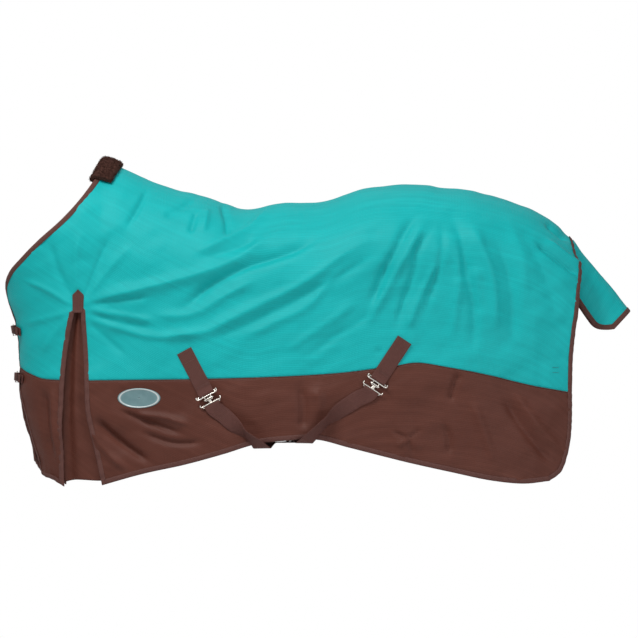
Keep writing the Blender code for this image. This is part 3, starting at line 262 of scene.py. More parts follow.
# each fold: its line in side view (x, z), half width, height (negative is a trough), in metres
tealFolds = [
    ([(-0.38, -0.335), (-0.267, -0.242), (-0.17, -0.189), (-0.043, -0.146), (0.075, -0.098)], 0.017, -0.0105),
    ([(-0.68, -0.306), (-0.487, -0.258), (-0.298, -0.208), (-0.186, -0.165), (-0.093, -0.104), (0.0, -0.05)],
     0.021, 0.0085),
    ([(-0.47, -0.344), (-0.319, -0.333), (-0.245, -0.288), (-0.125, -0.227)], 0.015, 0.0055),
    ([(-0.47, -0.395), (-0.319, -0.4), (-0.177, -0.335), (0.025, -0.232), (0.139, -0.152), (0.254, -0.09)],
     0.016, 0.0058),
    ([(-0.31, -0.434), (-0.155, -0.363), (0.031, -0.27), (0.155, -0.201), (0.26, -0.13)], 0.017, -0.0050),
    ([(-0.20, -0.425), (-0.09, -0.369), (0.025, -0.313), (0.084, -0.245), (0.15, -0.185)], 0.015, 0.0050),
    ([(0.372, -0.02), (0.335, -0.065), (0.301, -0.13), (0.254, -0.22), (0.214, -0.326)], 0.014, -0.0085),
    ([(0.392, -0.05), (0.369, -0.084), (0.313, -0.18), (0.254, -0.288), (0.205, -0.38)], 0.012, 0.0065),
    ([(0.412, -0.071), (0.369, -0.127), (0.347, -0.22), (0.313, -0.326), (0.296, -0.395)], 0.010, -0.0072),
    ([(0.434, -0.165), (0.394, -0.236), (0.353, -0.329), (0.326, -0.41)], 0.010, 0.0062),
    ([(0.437, -0.06), (0.44, -0.14), (0.41, -0.25), (0.38, -0.36)], 0.010, -0.0045),
    ([(0.47, -0.03), (0.502, -0.115), (0.515, -0.195), (0.542, -0.329), (0.536, -0.475)], 0.018, -0.0078),
    ([(0.527, -0.053), (0.558, -0.124), (0.595, -0.22), (0.61, -0.40)], 0.018, 0.0068),
    ([(0.60, -0.10), (0.645, -0.20), (0.665, -0.44)], 0.018, -0.0048),
    ([(0.49, -0.12), (0.49, -0.25), (0.47, -0.42)], 0.014, 0.0042),
    ([(-0.474, 0.05), (-0.502, -0.009), (-0.539, -0.071)], 0.011, -0.0050),
    ([(-0.329, 0.012), (-0.378, -0.015), (-0.425, -0.04)], 0.012, -0.0050),
    ([(-0.322, -0.025), (-0.341, -0.09)], 0.009, -0.0055),
    ([(-0.290, -0.015), (-0.300, -0.085)], 0.010, 0.0050),
    ([(-0.248, 0.0), (-0.229, -0.053), (-0.226, -0.105)], 0.009, -0.0065),
    ([(-0.08, 0.0), (-0.152, -0.071), (-0.236, -0.112), (-0.33, -0.15)], 0.013, 0.0065),
    ([(-0.125, -0.105), (-0.20, -0.135), (-0.29, -0.16)], 0.012, -0.0040),
    ([(-0.703, -0.315), (-0.781, -0.264), (-0.856, -0.229)], 0.008, 0.0032),
    ([(-0.703, -0.300), (-0.75, -0.201), (-0.778, -0.108)], 0.010, -0.0036),
    ([(-0.690, -0.285), (-0.694, -0.177), (-0.682, -0.093)], 0.010, 0.0034),
    ([(-0.670, -0.290), (-0.626, -0.177), (-0.589, -0.093)], 0.010, -0.0030),
    ([(-0.660, -0.290), (-0.600, -0.21), (-0.52, -0.12)], 0.012, 0.0030),
    ([(-0.710, -0.330), (-0.781, -0.35), (-0.856, -0.369)], 0.008, 0.0030),
    ([(-0.715, -0.345), (-0.76, -0.40), (-0.80, -0.46)], 0.009, 0.0030),
    ([(-0.663, -0.322), (-0.589, -0.335), (-0.533, -0.344), (-0.434, -0.363)], 0.009, 0.0042),
    ([(-0.660, -0.344), (-0.589, -0.372), (-0.446, -0.409), (-0.291, -0.391)], 0.010, 0.0046),
    ([(-0.663, -0.335), (-0.56, -0.365), (-0.44, -0.385)], 0.008, -0.0035),
    ([(-0.660, -0.362), (-0.604, -0.412), (-0.542, -0.466)], 0.010, -0.0035),
    ([(-0.660, -0.312), (-0.574, -0.296), (-0.465, -0.285)], 0.009, -0.0040),
    ([(-0.055, -0.46), (0.077, -0.372), (0.186, -0.294)], 0.014, 0.0036),
    ([(0.01, -0.48), (0.12, -0.40), (0.23, -0.33)], 0.012, -0.0030),
    ([(0.24, -0.44), (0.262, -0.495)], 0.007, -0.0030),
    ([(0.29, -0.43), (0.285, -0.50)], 0.006, -0.0030),
    ([(0.765, -0.050), (0.838, -0.108)], 0.0075, -0.0078),
    ([(0.735, -0.112), (0.868, -0.224)], 0.0075, -0.0090),
    ([(0.760, -0.100), (0.880, -0.196)], 0.0085, 0.0060),
    ([(0.70, -0.10), (0.76, -0.22), (0.80, -0.36)], 0.022, -0.0032),
    ([(0.64, -0.03), (0.69, -0.16), (0.70, -0.33)], 0.024, 0.0030)]
brownFolds = [
    ([(-0.645, -0.654), (-0.558, -0.735), (-0.462, -0.8)], 0.013, -0.0070),
    ([(-0.66, -0.69), (-0.60, -0.765), (-0.53, -0.83)], 0.012, 0.0040),
    ([(-0.577, -0.629), (-0.487, -0.666), (-0.36, -0.71)], 0.010, -0.0050),
    ([(-0.518, -0.650), (-0.434, -0.655), (-0.335, -0.682)], 0.010, 0.0040),
    ([(-0.50, -0.70), (-0.40, -0.735), (-0.30, -0.735)], 0.009, -0.0040),
    ([(0.446, -0.676), (0.462, -0.728), (0.456, -0.775)], 0.008, -0.0035),
    ([(0.493, -0.515), (0.474, -0.567), (0.462, -0.614)], 0.009, -0.0045),
    ([(0.629, -0.589), (0.701, -0.701), (0.794, -0.809)], 0.015, -0.0045),
    ([(0.66, -0.57), (0.735, -0.68), (0.82, -0.77)], 0.016, 0.0040),
    ([(0.0, -0.56), (0.012, -0.63), (0.004, -0.70)], 0.014, -0.0045),
    ([(0.05, -0.56), (0.06, -0.63), (0.05, -0.70)], 0.016, 0.0035),
    ([(0.335, -0.722), (0.375, -0.690)], 0.005, -0.0030),
    ([(0.335, -0.722), (0.290, -0.700)], 0.005, -0.0030),
    ([(0.335, -0.722), (0.350, -0.770)], 0.005, -0.0030),
    ([(0.335, -0.722), (0.300, -0.750)], 0.005, 0.0025),
    ([(0.53, -0.60), (0.57, -0.70), (0.60, -0.80)], 0.014, 0.0030),
    ([(-0.80, -0.56), (-0.79, -0.66), (-0.775, -0.78)], 0.012, -0.0045),
    ([(-0.77, -0.56), (-0.762, -0.68), (-0.755, -0.80)], 0.010, 0.0035)]
strapLines = {"front": {"pivot": (0.352, 0.671), "top": (0.313, 0.516)},
              "rear": {"pivot": (0.648, 0.623), "top": (0.695, 0.477)}}
bellyShares = {"front": [(0.382, 0.748), (0.402, 0.785), (0.420, 0.815)],
               "rear": [(0.612, 0.690), (0.584, 0.728), (0.558, 0.772)]}
calmSpots = ([([strapLines[e]["top"], strapLines[e]["pivot"]] + bellyShares[e], 0.040) for e in strapLines]
             + [([(0.205, 0.687), (0.265, 0.687)], 0.034), ([(0.1295, 0.320), (0.1295, 0.360)], 0.018),
                ([(0.956, 0.600), (0.956, 0.640)], 0.035)])


def nearLine(x, z, line):
    # distance from each point to a line of straight pieces, and the share of its length at the nearest spot
    line = np.asarray(line, float)
    run = np.concatenate([[0], np.cumsum(np.linalg.norm(np.diff(line, axis=0), axis=1))])
    best = np.full(x.shape, 1e9)
    share = np.zeros(x.shape)
    for k in range(len(line) - 1):
        step = line[k + 1] - line[k]
        t = np.clip(((x - line[k, 0]) * step[0] + (z - line[k, 1]) * step[1]) / (step @ step), 0, 1)
        far = np.hypot(x - line[k, 0] - t * step[0], z - line[k, 1] - t * step[1])
        closer = far < best
        best = np.where(closer, far, best)
        share = np.where(closer, (run[k] + t * (run[k + 1] - run[k])) / run[-1], share)
    return best, share


# how much deeper than its table each cloth's folds are raised
foldBoost = {"teal": 1.9, "brown": 3.0}


def foldHeight(x, z, side):
    # each fold is its height times a bell of the distance from its line, fading at both ends of the line
    height = np.zeros(x.shape)
    for k, (line, width, tall) in enumerate(tealFolds + brownFolds):
        if side == "off" and k % 3 == 1:
            continue
        points = smoothLine(line, 14) if len(line) > 2 else np.array(line)
        if side == "off":
            points = points + [0.012, 0.006]
        far, share = nearLine(x, z, points)
        fade = np.clip(np.minimum(share / 0.22, (1 - share) / 0.22), 0, 1)
        bell = 0.6 * np.exp(-((far / width) ** 2)) + 0.4 * np.exp(-far / (0.8 * width))
        boost = foldBoost["teal" if k < len(tealFolds) else "brown"]
        height += boost * tall * bell * (0.12 + 0.88 * fade * fade * (3 - 2 * fade))
    # broad sag and small rumples, drawn out along the way that the cloth is pulled
    turn = 0 if side == "near" else 2
    u, v = 0.86 * x + 0.5 * z, -0.5 * x + 0.86 * z
    height += 0.0055 * softNoise(u * 0.6, v, 0.16, turn) + 0.0040 * softNoise(u * 0.45, v, 0.065, turn + 1)
    height += 0.0017 * softNoise(u * 0.6, v, 0.030, turn + 4)
    return height


def calm(x, z):
    # 0 under the straps, the badge and the tabs, 1 well clear of them
    share = np.ones(x.shape)
    for line, width in calmSpots:
        far, _ = nearLine(x, z, [place(*p) for p in line])
        share *= 1 - np.exp(-((far / width) ** 4))
    return share


def clothHeight(x, z, side):
    down = topLine(x) - z
    height = foldHeight(x, z, "near")
    if side == "off":
        own = np.clip(down / 0.16, 0, 1)
        own = own * own * (3 - 2 * own)
        height = height * (1 - own) + foldHeight(x, z, "off") * own
    quiet = calm(x, z)
    return height * quiet - 0.0008 * (1 - quiet)


def clothPoints(cloth, side, lift=0.0):
    # points on the folded cloth: the rolled surface moved along its normal by the folds' height and the lift
    flat, normals = roll(cloth), rollNormals(cloth)
    height = clothHeight(flat[..., 0], flat[..., 2], side)
    points = flat + normals * (height + lift)[..., None]
    if side == "off":
        return points * [1, -1, 1], normals * [1, -1, 1]
    return points, normals


def sidePoint(along, down, side="near", lift=0.0):
    # a point and outward normal of the unfolded cloth, at side-view shares
    cloth = unroll(*place(along, down))
    point, normal = roll(cloth), rollNormals(cloth)
    if side == "off":
        point, normal = point * [1, -1, 1], normal * [1, -1, 1]
    return point + normal * lift, normal


# ---------------------------------------------------------------- materials


class Wire:
    # one socket of a shader, with arithmetic that adds Math nodes
    def __init__(self, paint, socket):
        self.paint, self.socket = paint, socket

    def join(self, operation, other, swap=False):
        pair = [other, self] if swap else [self, other]
        return self.paint.node("ShaderNodeMath", {"operation": operation}, dict(enumerate(pair)))

    def __add__(self, other):
        return self.join("ADD", other)

    __radd__ = __add__

    def __sub__(self, other):
        return self.join("SUBTRACT", other)

    def __rsub__(self, other):
        return self.join("SUBTRACT", other, True)

    def __mul__(self, other):
        return self.join("MULTIPLY", other)

    __rmul__ = __mul__

    def __pow__(self, other):
        return self.join("POWER", other)

    def math(self, operation, other=0.0):
        return self.join(operation, other)


class Paint:
    # a material under construction
    def __init__(self, name, **fixed):
        self.look = bpy.data.materials.new(name)
        self.look.use_nodes = True
        self.tree = self.look.node_tree
        self.shader = self.tree.nodes["Principled BSDF"]
        for socket, value in fixed.items():
            self.shader.inputs[socket.replace("_", " ")].default_value = value

    def node(self, kind, settings=None, inputs=None, output=0):
        made = self.tree.nodes.new(kind)
        for key, value in (settings or {}).items():
            setattr(made, key, value)
        for key, value in (inputs or {}).items():
            self.put(made.inputs[key], value)
        return Wire(self, made.outputs[output])

    def put(self, socket, value):
        if isinstance(value, Wire):
            self.tree.links.new(value.socket, socket)
        else:
            socket.default_value = value

    def feed(self, **inputs):
        for socket, value in inputs.items():
            self.put(self.shader.inputs[socket.replace("_", " ")], value)

    def coordinates(self, kind):
        return self.node("ShaderNodeTexCoord", output={"Object": 3, "UV": 2}[kind])

    def split(self, vector):
        parts = self.tree.nodes.new("ShaderNodeSeparateXYZ")
        self.put(parts.inputs[0], vector)
        return [Wire(self, s) for s in parts.outputs]

    def noise(self, vector, scale, detail=3.0, rough=0.5, stretch=None):
        if stretch:
            vector = self.node("ShaderNodeMapping", {}, {"Vector": vector, "Scale": stretch})
        return self.node("ShaderNodeTexNoise", {}, {"Vector": vector, "Scale": scale, "Detail": detail,
                                                    "Roughness": rough})

    def blend(self, share, first, second):
        made = self.tree.nodes.new("ShaderNodeMix")
        made.data_type = "RGBA"
        for key, value in ((0, share), (6, first), (7, second)):
            value = (*value, 1) if isinstance(value, tuple) and len(value) == 3 else value
            self.put(made.inputs[key], value)
        return Wire(self, made.outputs[2])

    def bump(self, height, distance, strength=1.0):
        return self.node("ShaderNodeBump", {}, {"Height": height, "Distance": distance, "Strength": strength})


def ribs(value, pitch):
    # a smooth wave of this pitch, from 0 to 1
    return (value * (2 * math.pi / pitch)).math("SINE") * 0.5 + 0.5


def ripstop(name, look):
    # coated cloth: fine weave, thicker yarns in a grid, faint wear and dust, a soft sheen
    paint = Paint(name, Roughness=look["roughness"], IOR=1.42, Specular_IOR_Level=0.22)
    uv = paint.coordinates("UV")
    across, down, _ = paint.split(uv)
    rows = ribs(down, look["rib"]) ** 6.0
    cross = ribs(across, look["rib"] * 1.6) ** 10.0
    fine = ribs(down, 0.0011) * 0.5 + ribs(across, 0.0011) * 0.5
    place3 = paint.coordinates("Object")
    cloudy = paint.noise(place3, 3.2, 4.0, 0.55)
    rumple = paint.noise(place3, 34.0, 3.0, 0.6, (1.0, 1.0, 1.6))
    slubs = paint.noise(uv, 260.0, 2.0, 0.6, (0.12, 1.0, 1.0))
    colour = paint.blend(cloudy * 0.9, look["dark"], look["light"])
    colour = paint.blend(rows * look["ribShow"], colour, look["ribColour"])
    colour = paint.blend((slubs * 0.28), colour, look["dark"])
    for scale, much in ((70.0, 0.5), (22.0, 0.35)):
        streak = paint.noise(uv, scale, 2.0, 0.6, (0.07, 1.0, 1.0))
        streak = (streak - 0.5) * 2.6 + 0.5
        colour = paint.blend(streak.math("MAXIMUM", 0.0).math("MINIMUM", 1.0) * much, colour, look["dark"])
    height = rows * 0.55 + cross * 0.3 + fine * 0.35 + slubs * 0.4 + rumple * look["rumple"]
    paint.feed(Base_Color=colour, Roughness=cloudy * 0.12 + (look["roughness"] - 0.06) + slubs * 0.05,
               Normal=paint.bump(height, 0.00055, 0.75))
    return paint.look


def webbing(name, look):
    # woven tape: ridges across it, a herringbone along it, and painted shade darkening the hollows of the
    # weave
    paint = Paint(name, Roughness=0.7, Specular_IOR_Level=0.3)
    uv = paint.coordinates("UV")
    across, along, _ = paint.split(uv)
    slant = (across * (2 * math.pi / look["rope"])).math("SINE").math("ABSOLUTE")
    picks = ribs(along + slant * 0.0009, look["pick"])
    ropes = ribs(across, look["rope"])
    worn = paint.noise(paint.coordinates("Object"), 18.0, 4.0, 0.6)
    fuzz = paint.noise(uv, 900.0, 2.0, 0.6)
    # painted shade: the colour follows the bump height, dark in the weave's hollows and lighter on its raised
    # ridges
    hollowShade = picks * 0.6 + ropes * 0.4
    colour = paint.blend(hollowShade, look["dark"], look["light"])
    colour = paint.blend(worn * 0.35, colour, look["worn"])
    paint.feed(Base_Color=colour, Roughness=worn * 0.15 + 0.6,
               Normal=paint.bump(picks * 0.7 + ropes * 0.45 + fuzz * 0.25, look["deep"], 0.9))
    return paint.look


def liningCloth(name):
    # smooth nylon with faint lighter streaks of painted satin sheen
    paint = Paint(name, Roughness=0.42, Specular_IOR_Level=0.4)
    uv = paint.coordinates("UV")
    across, down, _ = paint.split(uv)
    fine = ribs(down, 0.0009) * 0.5 + ribs(across, 0.0009) * 0.5
    streak = paint.noise(uv, 90.0, 3.0, 0.55, (0.1, 1.0, 1.0))
    # painted sheen: the colour is lighter along the stretched streak noise, standing in for satin shine
    colour = paint.blend(streak * 0.8, (0.058, 0.025, 0.019), (0.100, 0.046, 0.036))
    rumple = paint.noise(paint.coordinates("Object"), 26.0, 3.0, 0.6)
    paint.feed(Base_Color=colour, Roughness=streak * 0.16 + 0.36,
               Normal=paint.bump(fine * 0.3 + streak * 0.3 + rumple, 0.0008, 0.6))
    return paint.look


def sherpa(name):
    # curly pile: painted shade between the curls, lighter on their tips
    paint = Paint(name, Roughness=0.95, Specular_IOR_Level=0.1)
    where = paint.coordinates("Object")
    curls = paint.node("ShaderNodeTexVoronoi", {"feature": "F1"}, {"Vector": where, "Scale": 210.0})
    clumps = paint.noise(where, 70.0, 4.0, 0.65)
    # painted shade: the colour darkens with the distance from each curl's middle, where the bump sinks between
    # the curls
    colour = paint.blend(curls * 0.9, (0.105, 0.046, 0.036), (0.020, 0.006, 0.004))
    colour = paint.blend(clumps * 0.6, colour, (0.050, 0.024, 0.018))
    paint.feed(Base_Color=colour, Normal=paint.bump((1 - curls) + clumps * 0.6, 0.0022, 1.0))
    return paint.look


def platedSteel(name, bright=(0.90, 0.86, 0.80), worn=(0.74, 0.70, 0.64), dullness=0.14):
    # plated steel with faint brushing and finger dullness
    paint = Paint(name, Metallic=1.0, Roughness=0.28)
    where = paint.coordinates("Object")
    dull = paint.noise(where, 120.0, 4.0, 0.6)
    scratch = paint.noise(where, 700.0, 2.0, 0.5, (1.0, 0.1, 0.15))
    colour = paint.blend(dull, bright, worn)
    paint.feed(Base_Color=colour, Roughness=dull * 0.22 + scratch * 0.08 + dullness,
               Normal=paint.bump(scratch * 0.5 + dull * 0.5, 0.0001, 0.5))
    return paint.look


def thread(name, colour, dark):
    # twisted sewing thread
    paint = Paint(name, Roughness=0.55)
    grain = paint.noise(paint.coordinates("Object"), 1500.0, 2.0, 0.5)
    paint.feed(Base_Color=paint.blend(grain, dark, colour), Normal=paint.bump(grain, 0.0002, 0.8))
    return paint.look


def rubberBadge(name):
    # moulded patch: the field and its ring are told apart by an attribute that the mesh carries
    paint = Paint(name, Roughness=0.4)
    ring = paint.node("ShaderNodeAttribute", {"attribute_name": "ringShare"}, output=2)
    where = paint.coordinates("Object")
    grain = paint.noise(where, 300.0, 3.0, 0.5)
    cloudy = paint.noise(where, 40.0, 2.0, 0.5)
    field = paint.blend(cloudy, (0.075, 0.150, 0.165), (0.150, 0.250, 0.265))
    colour = paint.blend(ring, field, (0.62, 0.66, 0.66))
    paint.feed(Base_Color=colour, Metallic=ring * 0.35, Roughness=grain * 0.2 + 0.3,
               Normal=paint.bump(grain, 0.0002, 0.6))
    return paint.look


def paleFloor(name):
    paint = Paint(name, Roughness=0.85)
    speck = paint.noise(paint.coordinates("Object"), 2.0, 2.0, 0.5)
    paint.feed(Base_Color=paint.blend(speck, (0.80, 0.80, 0.80), (0.84, 0.84, 0.84)))
    return paint.look


looks = {
    "teal": ripstop("tealRipstop", {
        "dark": (0.002, 0.300, 0.308), "light": (0.004, 0.455, 0.465), "ribColour": (0.016, 0.560, 0.570),
        "rib": 0.0056, "ribShow": 0.55, "roughness": 0.50, "rumple": 0.9}),
    "brown": ripstop("brownRipstop", {
        "dark": (0.067, 0.019, 0.012), "light": (0.136, 0.044, 0.030), "ribColour": (0.175, 0.072, 0.052),
        "rib": 0.0056, "ribShow": 0.30, "roughness": 0.46, "rumple": 1.1}),
    "web": webbing("brownWebbing", {"pick": 0.0017, "rope": 0.0050, "deep": 0.0006,
                                    "dark": (0.052, 0.015, 0.011),
                                    "light": (0.104, 0.034, 0.027), "worn": (0.125, 0.050, 0.040)}),
    "tape": webbing("bindingTape", {"pick": 0.0012, "rope": 0.0030, "deep": 0.0004,
                                    "dark": (0.062, 0.019, 0.014),
                                    "light": (0.112, 0.042, 0.034), "worn": (0.130, 0.056, 0.046)}),
    "browned": platedSteel("brownedSteel", (0.080, 0.030, 0.022), (0.050, 0.020, 0.014), 0.55),
    "lining": liningCloth("nylonLining"),
    "fleece": sherpa("sherpaPile"),
    "steel": platedSteel("nickelSteel"),
    "thread": thread("brownThread", (0.150, 0.072, 0.058), (0.085, 0.034, 0.026)),
    "tack": thread("tealTack", (0.010, 0.170, 0.170), (0.005, 0.100, 0.100)),
    "badge": rubberBadge("oval"),
    "floor": paleFloor("paleFloor")}
print("materials ready")

# ---------------------------------------------------------------- mesh helpers


def addObject(name, mesh, look, body="rug"):
    made = bpy.data.objects.new(name, mesh)
    bpy.context.scene.collection.objects.link(made)
    mesh.materials.append(look)
    if body:
        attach(made, body)
    return made


def quadMesh(name, points, quads, uv=None):
    # mesh from an array of points and an array of four-cornered faces, with one uv pair for each point
    points, quads = np.asarray(points, np.float32).reshape(-1, 3), np.asarray(quads, np.int32)
    mesh = bpy.data.meshes.new(name)
    mesh.vertices.add(len(points))
    mesh.vertices.foreach_set("co", points.ravel())
    mesh.loops.add(quads.size)
    mesh.loops.foreach_set("vertex_index", quads.ravel())
    mesh.polygons.add(len(quads))
    mesh.polygons.foreach_set("loop_start", np.arange(len(quads), dtype=np.int32) * 4)
    mesh.polygons.foreach_set("loop_total", np.full(len(quads), 4, np.int32))
    mesh.polygons.foreach_set("use_smooth", np.ones(len(quads), bool))
    if uv is not None:
        layer = mesh.uv_layers.new(name="clothUV")
        layer.data.foreach_set("uv", np.asarray(uv, np.float32).reshape(-1, 2)[quads.ravel()].ravel())
    mesh.update(calc_edges=True)
    mesh.validate()
    return mesh


def turnOutward(points, normals, quads):
    # reverses the faces if most of them look against the given normals
    a, b, c = points[quads[:, 0]], points[quads[:, 1]], points[quads[:, 2]]
    facing = (np.cross(b - a, c - a) * normals[quads[:, 0]]).sum()
    return quads if facing > 0 else quads[:, ::-1]


def thicken(made, thickness, offset=-1.0):
    solid = made.modifiers.new("thickness", "SOLIDIFY")
    solid.thickness = thickness
    solid.offset = offset
    solid.use_even_offset = False
    return made


def gridSheet(name, points, normals, uv, mask, look, thickness, body="rug"):
    # sheet over the chosen cells of a grid of points, given thickness on its inner side
    columns = mask.shape[1]
    j, i = np.nonzero(mask)
    corner = j * (columns + 1) + i
    quads = np.stack([corner, corner + columns + 1, corner + columns + 2, corner + 1], axis=1)
    used, index = np.unique(quads.ravel(), return_inverse=True)
    quads = index.reshape(quads.shape)
    flatPoints, flatNormals = points.reshape(-1, 3)[used], normals.reshape(-1, 3)[used]
    quads = turnOutward(flatPoints, flatNormals, quads)
    mesh = quadMesh(name, flatPoints, quads, uv.reshape(-1, 2)[used])
    made = addObject(name, mesh, look, body)
    return thicken(made, thickness) if thickness else made


def sweep(name, rings, look, body="rug", closed=False, uWidths=None, runs=None):
    # tube through rings of points (ring, corner, axis); ends capped with one face unless closed into a loop
    rings = np.asarray(rings, float)
    count, corners = rings.shape[:2]
    a = np.arange(count if closed else count - 1)[:, None]
    c = np.arange(corners)[None, :]
    b, d = (a + 1) % count, (c + 1) % corners
    quads = np.stack([a * corners + c, a * corners + d, b * corners + d, b * corners + c],
                     axis=-1).reshape(-1, 4)
    outward = rings - rings.mean(axis=1, keepdims=True)
    flat = rings.reshape(-1, 3)
    first = quads[: corners * max(1, (count - 1) // 2)]
    p, q, r = flat[first[:, 0]], flat[first[:, 1]], flat[first[:, 2]]
    flip = (np.cross(q - p, r - p) * outward.reshape(-1, 3)[first[:, 0]]).sum() < 0
    if runs is None:
        middle = rings.mean(axis=1)
        runs = np.concatenate([[0], np.cumsum(np.linalg.norm(np.diff(middle, axis=0), axis=1))])
    if uWidths is None:
        around = np.linalg.norm(np.diff(np.concatenate([rings[0], rings[0][:1]]), axis=0), axis=1)
        uWidths = np.concatenate([[0], np.cumsum(around)])
    lastRun = runs[-1] + (np.linalg.norm(rings[0].mean(0) - rings[-1].mean(0)) if closed else 0)
    runList = np.concatenate([runs, [lastRun]])
    size = (len(a), corners)
    uv = np.empty((*size, 4, 2))
    uv[..., 0, 0] = uv[..., 3, 0] = np.broadcast_to(uWidths[c], size)
    uv[..., 1, 0] = uv[..., 2, 0] = np.broadcast_to(uWidths[c + 1], size)
    uv[..., 0, 1] = uv[..., 1, 1] = np.broadcast_to(runList[a], size)
    uv[..., 2, 1] = uv[..., 3, 1] = np.broadcast_to(runList[a + 1], size)
    uv = uv.reshape(-1, 4, 2)
    if flip:
        quads, uv = quads[:, ::-1], uv[:, ::-1]
    faces = quads.tolist()
    loops = uv.reshape(-1, 2)
    if not closed:
        ends = [list(range(corners)), list(range((count - 1) * corners, count * corners))]
        ends[0 if not flip else 1].reverse()
        faces += ends
        loops = np.concatenate([loops, np.zeros((2 * corners, 2))])
    mesh = bpy.data.meshes.new(name)
    mesh.from_pydata(flat.tolist(), [], faces)
    mesh.polygons.foreach_set("use_smooth", [True] * len(quads) + [False] * (len(faces) - len(quads)))
    layer = mesh.uv_layers.new(name="clothUV")
    layer.data.foreach_set("uv", loops.astype(np.float32).ravel())
    mesh.update()
    return addObject(name, mesh, look, body)


def unit(vectors):
    return vectors / np.maximum(np.linalg.norm(vectors, axis=-1, keepdims=True), 1e-12)


def resample(points, step):
    length = np.linalg.norm(np.diff(points, axis=0), axis=1).sum()
    return alongCurve(points, np.linspace(0, 1, max(3, int(round(length / step)) + 1)))


def strap(name, centres, normals, width, thick, look, body="rug", step=0.004):
    # webbing: a flat band with rounded selvedges carried along its centres, turned with their normals
    normals = np.asarray(normals, float)
    span = np.linalg.norm(np.diff(centres, axis=0), axis=1)
    run = np.concatenate([[0], np.cumsum(span)])
    count = max(4, int(round(run[-1] / step)) + 1)
    line = smoothLine(centres, count)
    share = np.concatenate([[0], np.cumsum(np.linalg.norm(np.diff(line, axis=0), axis=1))])
    up = np.stack([np.interp(share / share[-1] * run[-1], run, normals[:, k]) for k in range(3)], axis=1)
    along = unit(np.gradient(line, axis=0))
    up = unit(up - along * (up * along).sum(axis=1, keepdims=True))
    across = np.cross(along, up)
    half, t = width / 2, thick / 2
    flats = np.linspace(-half + t, half - t, 9)
    profile = ([(y, t) for y in flats] + [(half - t * 0.3, t * 0.7), (half, 0), (half - t * 0.3, -t * 0.7)]
               + [(y, -t) for y in flats[::-1]] + [(-half + t * 0.3, -t * 0.7), (-half, 0),
                                                   (-half + t * 0.3, t * 0.7)])
    profile = np.array(profile)
    rings = (line[:, None] + across[:, None] * profile[None, :, :1] + up[:, None] * profile[None, :, 1:])
    widths = np.concatenate([profile[:, 0], profile[:1, 0]])
    return sweep(name, rings, look, body, uWidths=widths, runs=share)


def tube(name, centres, radius, look, body="rug", closed=False, sides=12, upHint=(0, 0, 1)):
    # round wire along a smooth line
    centres = np.asarray(centres, float)
    along = np.gradient(centres, axis=0)
    if closed:
        along = np.roll(centres, -1, axis=0) - np.roll(centres, 1, axis=0)
    along = unit(along)
    side = unit(np.cross(along, upHint))
    up = np.cross(side, along)
    angle = np.linspace(0, 2 * math.pi, sides, endpoint=False)
    rings = centres[:, None] + radius * (side[:, None] * np.cos(angle)[None, :, None]
                                         + up[:, None] * np.sin(angle)[None, :, None])
    return sweep(name, rings, look, body, closed=closed)


def stitches(name, centres, normals, look, body="rug", pitch=0.0042, length=0.0030, radius=0.00042):
    # a row of thread stitches: each is a small spindle half sunk in the cloth
    run = np.concatenate([[0], np.cumsum(np.linalg.norm(np.diff(centres, axis=0), axis=1))])
    where = np.arange(pitch, run[-1] - pitch / 2, pitch)
    if len(where) < 1:
        return None
    at = np.stack([np.interp(where, run, centres[:, k]) for k in range(3)], axis=1)
    ahead = np.stack([np.interp(where + 0.001, run, centres[:, k]) for k in range(3)], axis=1)
    along = unit(ahead - at)
    up = unit(np.stack([np.interp(where, run, normals[:, k]) for k in range(3)], axis=1))
    side = np.cross(along, up)
    steps = np.array([-0.5, -0.32, 0.0, 0.32, 0.5])
    fat = np.array([0.25, 0.85, 1.0, 0.85, 0.25])
    angle = np.linspace(0, 2 * math.pi, 6, endpoint=False)
    points = (at[:, None, None] + along[:, None, None] * (steps * length)[None, :, None, None]
              + radius * fat[None, :, None, None] * (side[:, None, None] * np.cos(angle)[None, None, :, None]
                                                     + up[:, None, None]
                                                     * (np.sin(angle) * 0.8 + 0.1)[None, None, :, None]))
    count = len(at)
    ring, corner = np.arange(4)[:, None], np.arange(6)[None, :]
    cell = np.stack([ring * 6 + corner, ring * 6 + (corner + 1) % 6, (ring + 1) * 6 + (corner + 1) % 6,
                     (ring + 1) * 6 + corner], axis=-1).reshape(-1, 4)
    caps = np.array([[0, 3, 2, 1], [0, 5, 4, 3], [24, 25, 26, 27], [24, 27, 28, 29]])
    cell = np.concatenate([cell[:, ::-1], caps[:, ::-1]])
    quads = (cell[None] + np.arange(count)[:, None, None] * 30).reshape(-1, 4)
    flat = points.reshape(-1, 3)
    spread = (points - at[:, None, None]).reshape(-1, 3)
    sidesOnly = quads.reshape(count, -1, 4)[:, :24].reshape(-1, 4)
    p, q, r = flat[sidesOnly[:, 0]], flat[sidesOnly[:, 1]], flat[sidesOnly[:, 2]]
    if (np.cross(q - p, r - p) * spread[sidesOnly[:, 0]]).sum() < 0:
        quads = quads[:, ::-1]
    return addObject(name, quadMesh(name, flat, quads), look, body)


def roundedCopy(node, name, bevel, look, body, segments=3):
    # the CAD piece's own mesh with its edges rounded
    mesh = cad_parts[node].data.copy()
    mesh.materials.clear()
    made = addObject(name, mesh, look, body)
    merge = made.modifiers.new("merge", "WELD")
    merge.merge_threshold = 0.00002
    flat = made.modifiers.new("flat", "DECIMATE")
    flat.decimate_type = "DISSOLVE"
    flat.angle_limit = math.radians(1.0)
    edge = made.modifiers.new("edges", "BEVEL")
    edge.width = bevel
    edge.segments = segments
    edge.limit_method = "ANGLE"
    edge.angle_limit = math.radians(28)
    edge.use_clamp_overlap = True
    mesh.polygons.foreach_set("use_smooth", np.ones(len(mesh.polygons), bool))
    corners = made.modifiers.new("corners", "WEIGHTED_NORMAL")
    corners.keep_sharp = False
    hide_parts(node)
    return made


# ---------------------------------------------------------------- the cloth of both sides

weave = {"rows": (84, 34, 56), "columns": (34, 8, 196)}


